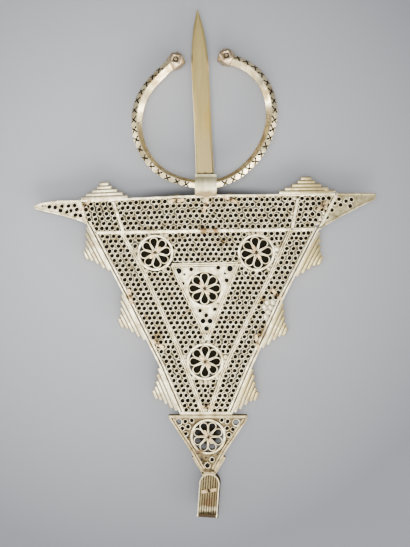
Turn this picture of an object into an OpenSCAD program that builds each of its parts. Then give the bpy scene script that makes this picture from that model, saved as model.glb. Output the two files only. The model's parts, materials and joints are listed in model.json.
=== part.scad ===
/* [Plate] */
// Width of the plate across its top edge, without the horns
plate_w = 154.8; // [140:0.2:170]
// Height of the plate from its foot to the middle of its top edge
plate_h = 131.7; // [120:0.1:145]
// Thickness of the plate at its rails and rims
plate_t = 4.2; // [3.8:0.1:5]
// How far the soldered tubes of the lattice lie below the rails
lattice_drop = 0.3; // [0.1:0.05:0.6]
// Width of the rails and dividing strips
rail_w = 1.8; // [1.2:0.1:2.4]
// Width of the thin strips along the sloping sides and the horns
edge_w = 1.1; // [0.8:0.1:1.4]
// Space between the two thin strips along a side
edge_gap = 0.8; // [0.4:0.1:1.2]
// Length of the left horn from the plate's corner
horn_left_len = 27.3; // [20:0.1:34]
// Length of the right horn from the plate's corner
horn_right_len = 23.4; // [18:0.1:30]
// Radius of the single tubes that are open in the horn and the corners
tube_r = 0.8; // [0.6:0.05:1]
// Radius of the wider rings in the corners of the inner triangle and the apex
corner_ring_r = 1.6; // [1.2:0.1:2]

/* [Crests] */
// Height of one strip of a stepped crest
crest_level = 2.05; // [1.6:0.05:2.4]
// Width of the groove between two strips
crest_groove = 0.4; // [0.2:0.05:0.6]
// Depth of the groove between two strips
crest_groove_depth = 0.7; // [0.4:0.1:1.2]
// How far a crest's lowest strip reaches into the plate, where it is soldered
crest_root = 0.9; // [0.7:0.1:1]

/* [Rosettes] */
// Outer radius of a rosette's rim
rosette_r = 10.8; // [10:0.1:12]
// Width of a rosette's rim
rosette_rim = 1.1; // [0.7:0.1:1.4]
// Radius of the round end of a petal's opening
petal_r = 2.2; // [1.6:0.1:2.4]
// Thickness of the wire between two openings
petal_wire = 0.6; // [0.4:0.05:0.8]
// Radius of the disc at a rosette's centre
hub_r = 2.5; // [2:0.1:3]

/* [Apex triangle] */
// Width of the small triangle at its top bar
apex_w = 47.4; // [42:0.2:52]
// Length of the small triangle, with the tip that the tail loop holds
apex_len = 39.3; // [36:0.1:44]
// Width of the groove between the plate's foot and the small triangle
apex_groove = 0.9; // [0.4:0.1:1.4]

/* [Pin] */
// Length of the pin from its root to its point
pin_len = 112.1; // [95:0.1:130]
// Greatest width of the pin
pin_w = 11.3; // [9:0.1:12]
// Thickness of the pin
pin_t = 2; // [1.4:0.1:2.6]
// Width of the bevel along each side of the pin
pin_bevel = 1.2; // [0.6:0.1:1.8]
// How far the pin leans to the left of upright, in degrees
pin_lean = 2.6; // [0:0.2:4]
// Distance of the pin's root to the right of the plate's middle
pin_x = -1.3; // [-4:0.1:4]
// How far the pin's underside lies above the plate's underside
pin_rise = 0.4; // [0.1:0.1:1]

/* [Pin loop] */
// Width of the strap that arches over the ring
loop_w = 12.9; // [11:0.1:15]
// Thickness of the strap
loop_t = 1; // [0.8:0.1:1.4]
// Distance from the plate's top edge to the middle of the ring's bar
loop_reach = 6.2; // [5.4:0.1:7]
// Distance from the middle of the bar to the end of the strap on the pin
loop_foot_pin = 6.4; // [5.6:0.1:8]
// Length of the strap that lies on the plate
loop_foot_plate = 1; // [0.6:0.1:1.6]

/* [Ring] */
// Mean radius of the ring at the middle of its bar
ring_r = 40.4; // [34:0.1:46]
// Thickness of the bar across its corners, inside the loop
bar_w = 4.8; // [4:0.1:5.4]
// Thickness of the bar across its corners, at its ends
bar_end_w = 6.8; // [5:0.1:7.6]
// Share of the bar's corners that is worn blunt
bar_blunt = 0.1; // [0.04:0.02:0.2]
// Size of a faceted knob from face to face
cap_w = 8.8; // [8:0.1:10]
// Clock angle of the right knob, in degrees
cap_right_turn = 18.3; // [14:0.1:24]
// Clock angle of the left knob, in degrees
cap_left_turn = 332.6; // [326:0.1:340]

/* [Tail loop] */
// Width of the folded strap
tail_w = 12; // [10.4:0.1:14]
// Length of the folded strap from its round end to its fold
tail_len = 26.7; // [24:0.1:32]
// Thickness of the strap between its ribs
tail_t = 0.8; // [0.6:0.1:1]
// How far the strap reaches over the tip of the apex triangle
tail_overlap = 3.9; // [3:0.1:5]
// Lean of the strap's round end to the right, in degrees
tail_lean = 4; // [0:0.5:6]
// Distance of the strap's round end to the right of the plate's middle
tail_x = 1.2; // [-1:0.1:2]
// How far the leaf below is set off to the right
tail_skew = 0.9; // [0:0.1:1.4]
// Distance between two ribs
rib_pitch = 1.45; // [1.2:0.05:1.8]
// Width of a rib
rib_w = 0.8; // [0.5:0.05:1]
// Height of a rib
rib_h = 0.3; // [0.15:0.05:0.4]
// Distance from the strap's round end to its stud
tail_stud_drop = 9.9; // [8.4:0.1:11]

/* [Studs] */
// Height of the plate's underside over the surface that the bosses lie on
boss_h = 4.5; // [4.1:0.1:6]
// Radius of the bosses behind the large rosettes
boss_r = 9; // [7:0.1:10]
// Depth of the worn flat on a boss
boss_wear = 0.05; // [0.02:0.01:0.1]
// Radius of a stud's two-prong shank
shank_r = 0.9; // [0.7:0.05:1]
// Width of the slit between the two prongs
slit_w = 0.5; // [0.3:0.05:0.6]
// Reach of a bent prong from the middle of its shank
prong_len = 4.7; // [3.6:0.1:5]
// Width of a bent prong
prong_w = 1.8; // [1.4:0.1:2.1]
// Thickness of a bent prong
prong_t = 0.8; // [0.6:0.1:1]

/* [Fits] */
// Gap between two pieces that are seated on each other
seat_gap = 0.05; // [0.02:0.01:0.1]
// Running gap round the ring's bar in its loop
bar_gap = 0.25; // [0.2:0.05:0.4]
// Gap round a shank in its hole
shank_gap = 0.1; // [0.05:0.05:0.2]

/* [Hidden] */
$fn = 48;

// Columns of a place on the plate: share of half its width from the middle, share of its height from the foot
U = 0;
V = 1;

// Corners of the plate, clockwise from the top left
PLATE_OUTLINE = [
    [-1, 0.977], [-0.1, 1], [1, 1.009], [0.864, 0.845], [0.581, 0.522],
    [0.341, 0.216], [0.186, 0], [-0.217, 0], [-0.38, 0.223], [-0.674, 0.567], [-0.946, 0.872],
];
// First and last of the plate's edges that have a double strip, on the right and on the left side
RIGHT_SIDE = [3, 5];
LEFT_SIDE = [7, 9];

// Columns of a horn: share of its length outwards, share of its root's height down from the plate's corner
OUT = 0;
DOWN = 1;
LEFT_HORN = [[0, 0], [0.484, 0.02], [0.857, 0.13], [1, 0.26], [0.967, 0.41], [0.527, 0.61], [0.198, 0.78]];
RIGHT_HORN = [[0, 0], [0.987, 0], [1, 0.08], [0.987, 0.18], [0.59, 0.375], [0.077, 0.667]];
HORN_TUBES = [
    [0.66, 0.3], [0.53, 0.3], [0.374, 0.283], [0.242, 0.26], [0.11, 0.24],
    [0.418, 0.47], [0.275, 0.5], [0.15, 0.478], [0.02, 0.45], [0.088, 0.66],
];

// Straight strips that divide the plate, each as the places that it runs through
DIVIDERS = [
    [[-0.86, 0.829], [0.806, 0.845]],
    [[-0.736, 0.964], [-0.659, 0.845]],
    [[0.698, 0.975], [0.651, 0.845]],
    [[-0.662, 0.822], [-0.504, 0.658], [-0.364, 0.476], [-0.225, 0.294], [-0.054, 0.03]],
    [[0.636, 0.831], [0.473, 0.622], [0.248, 0.362], [0.109, 0.185], [0.02, 0.03]],
    [[-0.279, 0.681], [0.233, 0.688], [-0.008, 0.34], [-0.279, 0.681]],
];
WIDE_RINGS = [[-0.229, 0.654], [0.171, 0.665], [-0.012, 0.392]];
PAIR_RINGS = [[-0.045, 0.43], [0.022, 0.43]];

// Columns of a crest: corner of the plate that its edge starts from, and the shares of that edge where it starts and stops
FROM = 0;
START = 1;
STOP = 2;
CRESTS = [
    [7, 0.09, 0.95], [8, 0.35, 0.95], [9, 0.3, 0.95], [0, 0.02, 0.42],
    [1, 0.593, 0.98], [3, 0.04, 0.66], [4, 0.04, 0.7], [5, 0.04, 0.94],
];
// Width of each strip of a crest, as a share of the crest's base
CREST_STEPS = [1, 0.79, 0.53, 0.31, 0.19];

// Rosettes and studs on the plate: place, turn in degrees, and for a stud its boss as a share of boss_r
TURN = 2;
BOSS = 3;
ROSETTES = [[-0.409, 0.737, -8], [0.376, 0.738, -7], [-0.026, 0.574, 0], [-0.023, 0.241, 0]];
ROSETTE_STUD_TURNS = [45, -60, -56, -50];
STUDS = [
    [-0.952, 0.952, 45, 0.5], [-0.244, 0.974, 5, 0.5], [0.173, 0.979, -26, 0.5],
    [0.891, 0.952, 39, 0.5], [-0.603, 0.537, -78, 0.5], [-0.393, 0.321, -30, 0.5],
    [0.536, 0.544, -47, 0.5], [0.381, 0.329, -80, 0.5], [-0.016, 0.034, 0, 0.5],
];

// Corners of the apex triangle: share of half its width, share of its length down from the plate's foot
APEX_OUTLINE = [
    [-1, 0], [1, 0], [0.975, 0.077], [0.48, 0.554], [0.2, 0.88],
    [0.165, 1], [-0.115, 1], [-0.165, 0.9], [-0.453, 0.554], [-0.95, 0.077],
];
APEX_RINGS = [[-0.735, 0.12], [0.72, 0.12], [-0.01, 0.785]];
APEX_ROSETTE = [0, 0.34];
APEX_ROSETTE_TURN = 22.5;
APEX_STUD_TURN = -57;
APEX_BOSS = 0.6;
TAIL_STUD_TURN = 10;
TAIL_BOSS = 0.5;
LOOP_STUD_TURN = 74;

// Share of the ring's mean radius at every 30 degrees, clockwise from 15 degrees past its gap
RING_BEND = [0.95, 1.013, 1.001, 0.957, 0.95, 0.988, 1.006, 1.053, 1.042, 1.009, 0.957, 1.01];
BEND_START = 15;
BEND_STEP = 30;
// Clock angle of the ring's thinnest place, and the angle over which the bar grows to its full size
THIN_TURN = 185;
THIN_SPREAD = 100;
RING_STEPS = 60;
LOOP_TURN = 180;

// Share of the pin's length from its root, share of its half width, share of its thickness
PIN_SHAPE = [
    [0, 1, 1], [0.126, 1, 1], [0.257, 0.93, 1], [0.4, 0.91, 1], [0.55, 0.93, 1], [0.722, 0.915, 1],
    [0.791, 0.81, 1], [0.85, 0.676, 0.95], [0.893, 0.55, 0.9], [0.947, 0.32, 0.75], [1, 0.04, 0.5],
];
PIN_BEVEL_SHARE = 0.3;
PIN_SIDE_SHARE = 0.45;

PETALS = 8;
cut = 1;

// Heights over the surface that the brooch lies on
plate_z = boss_h;
plate_top = plate_z + plate_t;
lattice_top = plate_top - lattice_drop;
pin_z = plate_z + pin_rise;
pin_top = pin_z + pin_t;

function at(p) = [p[U] * plate_w / 2, p[V] * plate_h];
function apex_at(p) = [p[U] * apex_w / 2, -p[V] * apex_len];
function horn_at(p, root, foot, side, length) =
    [root[0] + side * p[OUT] * length, root[1] + p[DOWN] * (foot[1] - root[1])];

// The outline in its stretches, which follow each other clockwise
plate_corners = [for (p = PLATE_OUTLINE) at(p)];
left_root = plate_corners[0];
right_root = plate_corners[2];
right_foot = plate_corners[3];
left_foot = plate_corners[10];
left_horn = [for (p = LEFT_HORN) horn_at(p, left_root, left_foot, -1, horn_left_len)];
right_horn = [for (p = RIGHT_HORN) horn_at(p, right_root, right_foot, 1, horn_right_len)];
apex = [for (p = APEX_OUTLINE) apex_at(p)];
outline = [
    for (i = [len(left_horn) - 1:-1:0]) left_horn[i],
    plate_corners[1],
    each right_horn,
    for (i = [3:6]) plate_corners[i],
    for (i = [1:len(apex) - 1]) apex[i],
    apex[0],
    for (i = [7:10]) plate_corners[i],
];

// The whole brooch is moved so that the middle of its outline is at x = 0 and y = 0
pin_root_y = plate_h + seat_gap + pin_w / 2 * sin(pin_lean);
tail_top_y = -(apex_len - tail_overlap);
tip_y = pin_root_y + pin_len * cos(pin_lean);
tail_end_y = tail_top_y - (tail_len + rib_h) * cos(tail_lean) - tail_w / 2 * sin(tail_lean);
middle_x = (right_root[0] + horn_right_len + left_root[0] - horn_left_len) / 2;
middle_y = (tip_y + tail_end_y) / 2;

// The ring's shape, seen from above and before it is tipped down
function bend(turn) =
    let (
        s = (turn - BEND_START) / BEND_STEP,
        k = floor(s),
        f = s - k,
        last = len(RING_BEND) - 1,
        a = RING_BEND[max(k - 1, 0)],
        b = RING_BEND[max(k, 0)],
        c = RING_BEND[min(k + 1, last)],
        d = RING_BEND[min(k + 2, last)]
    )
    b + f * ((c - a) / 2 + f * (a - 2.5 * b + 2 * c - d / 2 + f * (1.5 * (b - c) + (d - a) / 2)));
function ring_point(turn) = ring_r * bend(turn) * [sin(turn), cos(turn)];
ring_y = ring_r * bend(LOOP_TURN);
function bar_half(turn) =
    let (s = min(1, abs(turn - THIN_TURN) / THIN_SPREAD))
    (bar_w + (bar_end_w - bar_w) * s) / 2;

// The bar lies over the pin, and the arch of the strap clears the bend that the bar has inside it
side_turn = asin(loop_w / 2 / ring_r);
function bar_reach(turn) = bar_half(turn) + abs(ring_y + ring_point(turn)[1]);
bar_y = plate_h + loop_reach;
bar_z = pin_top + bar_gap + bar_half(LOOP_TURN - side_turn);
arch_r = max(bar_reach(LOOP_TURN - side_turn), bar_reach(LOOP_TURN + side_turn)) + bar_gap;
arch_out = arch_r + loop_t;

// The knobs sit square on the ends of the bar, and the ring tilts until they lie on the surface
cap_half = cap_w / 2;
neck = cap_half + seat_gap;
neck_turn = atan(neck / ring_r);
ring_start = cap_right_turn + neck_turn;
ring_stop = cap_left_turn - neck_turn;
function cap_place(turn, side) =
    ring_point(turn) - side * neck * [cos(turn), -sin(turn)];
cap_reach = ring_y + cap_place(ring_start, 1)[1];
// The far lower edge of a knob meets the surface where reach * sin + half * cos makes up the bar's height
tilt_arm = cap_reach + cap_half;
tilt = asin((bar_z - seat_gap) / sqrt(tilt_arm * tilt_arm + cap_half * cap_half)) - atan2(cap_half, tilt_arm);

// The tail loop: two leaves with the apex's tip between them, and one fold
leaf_top_z = plate_top + seat_gap;
leaf_gap = plate_t + 2 * seat_gap;
fold_r = leaf_gap / 2;
fold_z = plate_z + plate_t / 2;
fold_y = -(tail_len - fold_r - tail_t);
function tail_at(p) =
    [tail_x + p[0] * cos(tail_lean) + p[1] * sin(tail_lean), tail_top_y - p[0] * sin(tail_lean) + p[1] * cos(tail_lean)];

// The strap's foot on the plate, and the stud just below it
loop_foot_y = plate_h - loop_foot_plate;
loop_stud = [pin_x, loop_foot_y - prong_len - 2 * seat_gap];

// Moves a piece from the plate's own corner to the middle of the whole brooch
module place() {
    translate([-middle_x, -middle_y, 0]) children();
}

// A solid through a row of sections that have the same number of points
module skin(sections) {
    n = len(sections[0]);
    m = len(sections);
    polyhedron(
        points = [for (s = sections) each s],
        faces = [
            [for (i = [0:n - 1]) i],
            for (j = [0:m - 2], i = [0:n - 1])
                [j * n + i, (j + 1) * n + i, (j + 1) * n + (i + 1) % n, j * n + (i + 1) % n],
            [for (i = [n - 1:-1:0]) (m - 1) * n + i],
        ]
    );
}

// A clockwise outline, set in by a distance
function inset(points, distance) = [
    for (i = [0:len(points) - 1])
        let (
            before = points[i] - points[(i + len(points) - 1) % len(points)],
            after = points[(i + 1) % len(points)] - points[i],
            n1 = [before[1], -before[0]] / norm(before),
            n2 = [after[1], -after[0]] / norm(after)
        )
        points[i] + (n1 + n2) * distance / (1 + n1 * n2)
];

// A straight strip from a to b, longer by half its width at each end, set off to the right
module straight_strip(a, b, away, width) {
    run = b - a;
    translate(a) rotate(atan2(run[1], run[0])) translate([-width / 2, -away - width])
        square([norm(run) + width, width]);
}

// Strips of constant width through a row of places
module strip(points, width) {
    for (i = [0:len(points) - 2]) straight_strip(points[i], points[i + 1], -width / 2, width);
}

// Where the lattice lies lower: the outline less its edge strips, the dividing strips and the rosettes
module panels() {
    difference() {
        polygon(inset(outline, edge_w));
        for (side = [RIGHT_SIDE, LEFT_SIDE], i = [side[0]:side[1]])
            straight_strip(plate_corners[i], plate_corners[i + 1], edge_w + edge_gap, edge_w);
        for (line = DIVIDERS) strip([for (p = line) at(p)], rail_w);
        strip([left_root, left_foot], rail_w);
        strip([right_root, right_foot], rail_w);
        translate([0, -rail_w]) strip([apex[0], apex[1]], rail_w);
        at_rosettes() circle(rosette_r);
    }
}

// The strips of a stepped crest on an edge of the plate, with a groove after each
module crest(row, root, groove) {
    a = plate_corners[row[FROM]];
    run = plate_corners[row[FROM] + 1] - a;
    base = norm(run) * (row[STOP] - row[START]);
    translate(a) rotate(atan2(run[1], run[0])) translate([norm(run) * row[START], 0])
        for (k = [0:len(CREST_STEPS) - 1]) {
            width = base * CREST_STEPS[k];
            foot = k == 0 ? -root : k * crest_level;
            translate([(base - width) / 2, foot]) square([width, (k + 1) * crest_level - groove - foot]);
        }
}

// The openings of one rosette: eight petals, and the corners between them
module rosette_gaps() {
    spacing = 180 / PETALS;
    petal_y = (petal_r + petal_wire / 2) / sin(spacing);
    rim_y = rosette_r - rosette_rim;
    corner_y = petal_y * cos(spacing) + petal_r + petal_wire / 2;
    for (k = [0:PETALS - 1]) {
        rotate(k * 360 / PETALS) {
            translate([0, petal_y]) circle(petal_r);
            polygon([
                [0, hub_r],
                [petal_r * 0.93, petal_y - petal_r / 4],
                [-petal_r * 0.93, petal_y - petal_r / 4],
            ]);
        }
        rotate(k * 360 / PETALS + spacing)
            polygon([
                [0, corner_y - petal_r / 2],
                [petal_r * 0.85, rim_y * 0.975],
                [-petal_r * 0.85, rim_y * 0.975],
            ]);
    }
}

// Puts children at each rosette, turned as that rosette is
module at_rosettes() {
    for (r = ROSETTES) translate(at(r)) rotate(r[TURN]) children();
    translate(apex_at(APEX_ROSETTE)) rotate(APEX_ROSETTE_TURN) children();
}

// Every opening that goes right through the plate
module plate_gaps() {
    at_rosettes() rosette_gaps();
    for (p = HORN_TUBES)
        translate(horn_at(p, left_root, left_foot, -1, horn_left_len)) circle(tube_r);
    for (p = WIDE_RINGS) translate(at(p)) circle(corner_ring_r);
    for (p = PAIR_RINGS) translate(at(p)) circle(tube_r * 1.4);
    for (p = APEX_RINGS) translate(apex_at(p)) circle(corner_ring_r);
    for (s = STUDS) translate(at(s)) circle(shank_r + shank_gap);
    translate(loop_stud) circle(shank_r + shank_gap);
    at_rosettes() circle(shank_r + shank_gap);
}

module plate() {
    color("#cfc9b4") place() difference() {
        union() {
            translate([0, 0, plate_z]) linear_extrude(plate_t) {
                polygon(outline);
                for (row = CRESTS) crest(row, edge_w / 2, crest_groove);
            }
            translate([0, 0, plate_z]) linear_extrude(plate_t - crest_groove_depth)
                for (row = CRESTS) crest(row, crest_root, 0);
        }
        translate([0, 0, lattice_top]) linear_extrude(lattice_drop + cut) panels();
        translate([0, 0, plate_z - cut]) linear_extrude(plate_t + 2 * cut) plate_gaps();
        translate([-apex_w, -apex_groove / 2, plate_top - crest_groove_depth])
            cube([2 * apex_w, apex_groove, crest_groove_depth + cut]);
    }
}

// One section of the pin: flat below, bevelled along both upper edges
function pin_section(s) =
    let (
        y = s[0] * pin_len,
        half = s[1] * pin_w / 2,
        t = s[2] * pin_t,
        flat = half - min(pin_bevel, half * 2 * PIN_BEVEL_SHARE),
        side = t * PIN_SIDE_SHARE
    )
    [[-half, y, side], [-flat, y, t], [flat, y, t], [half, y, side], [half, y, 0], [-half, y, 0]];

module pin() {
    color("#bdb48e") place() translate([pin_x, pin_root_y, pin_z]) rotate(pin_lean)
        skin([for (s = PIN_SHAPE) pin_section(s)]);
}

// Side view of the strap, with y along the brooch and the ring's bar at its middle
module loop_profile() {
    pin_foot_z = pin_top + seat_gap - bar_z;
    plate_foot_z = plate_top + seat_gap - bar_z;
    plate_foot = loop_reach + loop_foot_plate;
    intersection() {
        difference() {
            circle(arch_out, $fn = 96);
            circle(arch_r, $fn = 96);
        }
        translate([-arch_out, 0]) square([2 * arch_out, arch_out]);
    }
    translate([arch_r, pin_foot_z]) square([loop_t, -pin_foot_z]);
    translate([arch_r, pin_foot_z]) square([loop_foot_pin - arch_r, loop_t]);
    translate([-arch_out, plate_foot_z]) square([loop_t, -plate_foot_z]);
    translate([-plate_foot, plate_foot_z]) square([plate_foot - arch_r, loop_t]);
}

module pin_loop() {
    color("#c4bfaa") place() translate([pin_x, bar_y, bar_z]) rotate([90, 0, 90])
        translate([0, 0, -loop_w / 2]) linear_extrude(loop_w) loop_profile();
}

// One section of the ring's bar: a square that stands on its edge, with blunt corners
function bar_section(turn) =
    let (
        p = ring_point(turn),
        half = bar_half(turn) / (1 - bar_blunt),
        b = bar_blunt,
        f = 1 - bar_blunt,
        corners = [[f, -b], [f, b], [b, f], [-b, f], [-f, b], [-f, -b], [-b, -f], [b, -f]]
    )
    [for (c = corners) [p[0] + c[0] * half * sin(turn), p[1] + c[0] * half * cos(turn), c[1] * half]];

// Puts children where the ring lies at rest, tipped down about its bar in the loop
module ring_place() {
    place() translate([pin_x, bar_y, bar_z]) rotate([-tilt, 0, 0]) translate([0, ring_y, 0]) children();
}

module ring() {
    color("#cac6b8") ring_place()
        skin([for (i = [0:RING_STEPS]) bar_section(ring_start + (ring_stop - ring_start) * i / RING_STEPS)]);
}

// A knob with six square faces and eight corners cut off, at the start or at the stop of the bar
module ring_cap(turn, side) {
    p = cap_place(turn, side);
    h = cap_half;
    corners = [for (a = [-h, h], b = [-h, h]) each [[a, b, 0], [a, 0, b], [0, a, b]]];
    color("#d2ccb8") ring_place() translate([p[0], p[1], 0]) rotate(-turn) hull()
        polyhedron(points = corners, faces = [[for (i = [0:len(corners) - 1]) i]]);
}

// Side view of the folded strap, thicker by grow on its outside
module tail_profile(grow) {
    difference() {
        union() {
            translate([0, fold_y]) circle(fold_r + tail_t + grow);
            translate([-fold_r - tail_t - grow, fold_y]) square([2 * (fold_r + tail_t + grow), -fold_y]);
        }
        translate([0, fold_y]) circle(fold_r);
        translate([-fold_r, fold_y]) square([2 * fold_r, cut - fold_y]);
    }
}

// One lengthwise band of the folded strap
module tail_band(x, width, grow) {
    translate([x - width / 2, 0, fold_z]) rotate([0, 90, 0]) mirror([1, 0, 0])
        linear_extrude(width) tail_profile(grow);
}

module tail_loop_bands() {
    count = floor((tail_w / 2 - rib_w) / rib_pitch);
    tail_band(0, tail_w, 0);
    for (k = [-count:count]) tail_band(k * rib_pitch, rib_w, rib_h);
    for (side = [-1, 1]) tail_band(side * (tail_w - rib_w) / 2, rib_w, rib_h);
}

// Outline of the strap from above, round at its end
module tail_outline(grow) {
    translate([0, -tail_w / 2]) circle(d = tail_w);
    translate([-tail_w / 2, -tail_len - grow]) square([tail_w, tail_len + grow - tail_w / 2]);
}

module tail_loop() {
    color("#b5a988") place() translate([tail_x, tail_top_y, 0]) rotate(-tail_lean) difference() {
        union() {
            intersection() {
                tail_loop_bands();
                translate([0, 0, fold_z]) linear_extrude(plate_top) tail_outline(rib_h);
            }
            translate([tail_skew, 0, 0]) intersection() {
                tail_loop_bands();
                translate([0, 0, 0]) linear_extrude(fold_z) tail_outline(rib_h);
            }
        }
        translate([0, -tail_stud_drop, 0]) cylinder(r = shank_r + shank_gap, h = 2 * plate_top);
    }
}

// One stud: a boss on the surface below, a slit shank, and two prongs bent flat at a height above
module stud(p, turn, radius, seat, back) {
    height = seat - seat_gap;
    sphere_r = (radius * radius + height * height) / 2 / height;
    top = back + seat_gap;
    color("#d3c3ad") place() translate([p[0], p[1], 0]) rotate(turn) {
        intersection() {
            translate([0, 0, sphere_r - boss_wear]) sphere(sphere_r, $fn = 64);
            cylinder(r = radius + cut, h = height);
        }
        difference() {
            union() {
                cylinder(r = shank_r, h = top + prong_t);
                translate([0, 0, top]) linear_extrude(prong_t) {
                    translate([-prong_len + prong_w / 2, -prong_w / 2]) square([2 * prong_len - prong_w, prong_w]);
                    for (side = [-1, 1]) translate([side * (prong_len - prong_w / 2), 0]) circle(d = prong_w);
                }
            }
            translate([-slit_w / 2, -prong_w, height + cut]) cube([slit_w, 2 * prong_w, top + prong_t]);
        }
    }
}

// A stud on the plate by its row in the table
module plate_stud(row) {
    stud(at(STUDS[row]), STUDS[row][TURN], STUDS[row][BOSS] * boss_r, plate_z, plate_top);
}

// A stud at the middle of a large rosette
module rosette_stud(row) {
    stud(at(ROSETTES[row]), ROSETTE_STUD_TURNS[row], boss_r, plate_z, plate_top);
}

// The stud just below the strap of the pin loop
module loop_stud() {
    stud(loop_stud, LOOP_STUD_TURN, 0.5 * boss_r, plate_z, plate_top);
}

// The stud at the middle of the apex rosette
module apex_stud() {
    stud(apex_at(APEX_ROSETTE), APEX_STUD_TURN, APEX_BOSS * boss_r, plate_z, plate_top);
}

// The stud that closes the tail loop
module tail_stud() {
    seat = fold_z - fold_r - tail_t - rib_h;
    back = fold_z + fold_r + tail_t + rib_h;
    stud(tail_at([0, -tail_stud_drop]), TAIL_STUD_TURN, TAIL_BOSS * boss_r, seat, back);
}

plate();
pin();
pin_loop();
ring();
ring_cap(ring_stop, -1);  // ring_cap_left
ring_cap(ring_start, 1);  // ring_cap_right
tail_loop();
plate_stud(0);  // stud_01
plate_stud(1);  // stud_02
loop_stud();  // stud_03
plate_stud(2);  // stud_04
plate_stud(3);  // stud_05
plate_stud(4);  // stud_06
plate_stud(5);  // stud_07
plate_stud(6);  // stud_08
plate_stud(7);  // stud_09
rosette_stud(0);  // stud_10
rosette_stud(1);  // stud_11
rosette_stud(2);  // stud_12
rosette_stud(3);  // stud_13
plate_stud(8);  // stud_14
apex_stud();  // stud_15
tail_stud();  // stud_16
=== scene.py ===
# %% [markdown]
# A berber fibula brooch, seen from its plain back
#
# The real brooch is a large silver triangle of openwork. Hundreds of short tubes are
# soldered side by side between straight strips, with rosettes set among them. A pin stands
# on its top edge inside an open ring, and a folded strap hangs from its foot.
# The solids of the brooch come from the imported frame. This script gives them their looks:
# the openwork is modelled here tube by tube, and every solid that stays gets its finish.

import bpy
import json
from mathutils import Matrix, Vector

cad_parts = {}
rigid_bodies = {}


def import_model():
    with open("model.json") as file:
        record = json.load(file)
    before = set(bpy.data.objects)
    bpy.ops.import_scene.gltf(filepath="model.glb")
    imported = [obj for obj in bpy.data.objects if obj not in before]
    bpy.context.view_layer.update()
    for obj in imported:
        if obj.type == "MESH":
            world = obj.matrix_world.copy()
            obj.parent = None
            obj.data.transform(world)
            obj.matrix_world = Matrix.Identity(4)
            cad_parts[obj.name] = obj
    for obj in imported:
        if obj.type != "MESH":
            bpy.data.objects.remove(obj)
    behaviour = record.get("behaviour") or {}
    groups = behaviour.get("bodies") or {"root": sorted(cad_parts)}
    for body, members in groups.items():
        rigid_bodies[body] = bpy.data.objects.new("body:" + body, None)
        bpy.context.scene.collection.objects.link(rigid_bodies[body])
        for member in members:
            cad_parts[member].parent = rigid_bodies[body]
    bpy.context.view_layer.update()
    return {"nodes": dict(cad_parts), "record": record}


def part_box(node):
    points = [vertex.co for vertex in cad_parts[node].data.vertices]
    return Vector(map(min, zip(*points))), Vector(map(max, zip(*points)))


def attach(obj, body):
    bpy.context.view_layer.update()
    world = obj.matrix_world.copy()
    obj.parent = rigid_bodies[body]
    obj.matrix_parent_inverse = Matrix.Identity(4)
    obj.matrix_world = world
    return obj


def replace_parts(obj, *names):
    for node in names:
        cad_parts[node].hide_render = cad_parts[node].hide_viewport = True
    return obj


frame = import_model()
print("Nodes in the frame:", len(frame["nodes"]))

# %% [markdown]
# Measures come first. The frame gives the plate's heights and the hinge of the ring. Places on
# the plate are shares of half its width, from its middle line, and of its height, from its
# foot, as a maker would step them off with dividers. A place that was read from the photograph
# is a pair of its pixels, and one pixel is 0.6 mm.

# %% Measures
import json
import math
import random

import bpy
import numpy as np
from mathutils import Matrix, Vector

MM = 0.001
PIXEL = 0.6 * MM
PHOTO_MIDDLE = (204.75, 263.47)
PLATE_WIDTH = 154.8 * MM
PLATE_HEIGHT = 131.7 * MM
PLATE_FOOT = Vector((1.95 * MM, -90.62 * MM))
APEX_WIDTH = 47.4 * MM
APEX_LENGTH = 39.3 * MM
plate_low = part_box("plate")[0].z
plate_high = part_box("plate")[1].z
hinge = Vector(frame["record"]["behaviour"]["joints"][0]["pos_m"])


def on_plate(*shares):
    """Places on the plate: shares of half its width and of its height."""
    return [PLATE_FOOT + Vector((across * PLATE_WIDTH / 2, up * PLATE_HEIGHT)) for across, up in shares]


def on_apex(*shares):
    """Places on the small triangle: shares of half its width and of its length."""
    return [PLATE_FOOT + Vector((across * APEX_WIDTH / 2, -down * APEX_LENGTH)) for across, down in shares]


def in_photo(x, y):
    """A place that was read from the photograph, in pixels."""
    return Vector(((x - PHOTO_MIDDLE[0]) * PIXEL, (PHOTO_MIDDLE[1] - y) * PIXEL))


def below(drop):
    """A height so many millimetres under the plate's back."""
    return plate_high - drop * MM


print("Plate from", round(plate_low / MM, 2), "to", round(plate_high / MM, 2), "mm high")

# %% [markdown]
# The camera looks straight down, as in the photograph, from about 450 mm above the plate's
# back. The picture is taller than it is wide, so the sensor's length lies along its height,
# and the lens follows from the 328 mm of table that the picture holds.

# %% Camera
CAMERA_AT = Vector((0.15, -6.03, 458.7)) * MM
SENSOR = 36
PICTURE_HEIGHT = 547 * PIXEL
camera_data = bpy.data.cameras.new("camera")
camera_data.sensor_width = SENSOR
camera_data.lens = SENSOR * (CAMERA_AT.z - plate_high) / PICTURE_HEIGHT
camera = bpy.data.objects.new("camera", camera_data)
camera.location = CAMERA_AT
scene_objects = bpy.context.scene.collection.objects
scene_objects.link(camera)
bpy.context.scene.camera = camera
print("Lens", round(camera_data.lens, 1), "mm")

# %% [markdown]
# Every finish is a tree of nodes. The helpers below each add one node, feed it, and hand back
# the socket that it gives, so that an effect reads like a short sum.

# %% Node helpers
def add_node(tree, kind, feeds=(), **settings):
    """A node with its settings, and its inputs fed by (input, value or socket) pairs."""
    node = tree.nodes.new(kind)
    for key, value in settings.items():
        setattr(node, key, value)
    for where, source in feeds:
        if isinstance(source, bpy.types.NodeSocket):
            tree.links.new(source, node.inputs[where])
        else:
            node.inputs[where].default_value = source
    return node


def number(tree, operation, *sources):
    """The number that a Math node gives."""
    return add_node(tree, "ShaderNodeMath", enumerate(sources), operation=operation).outputs[0]


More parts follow.
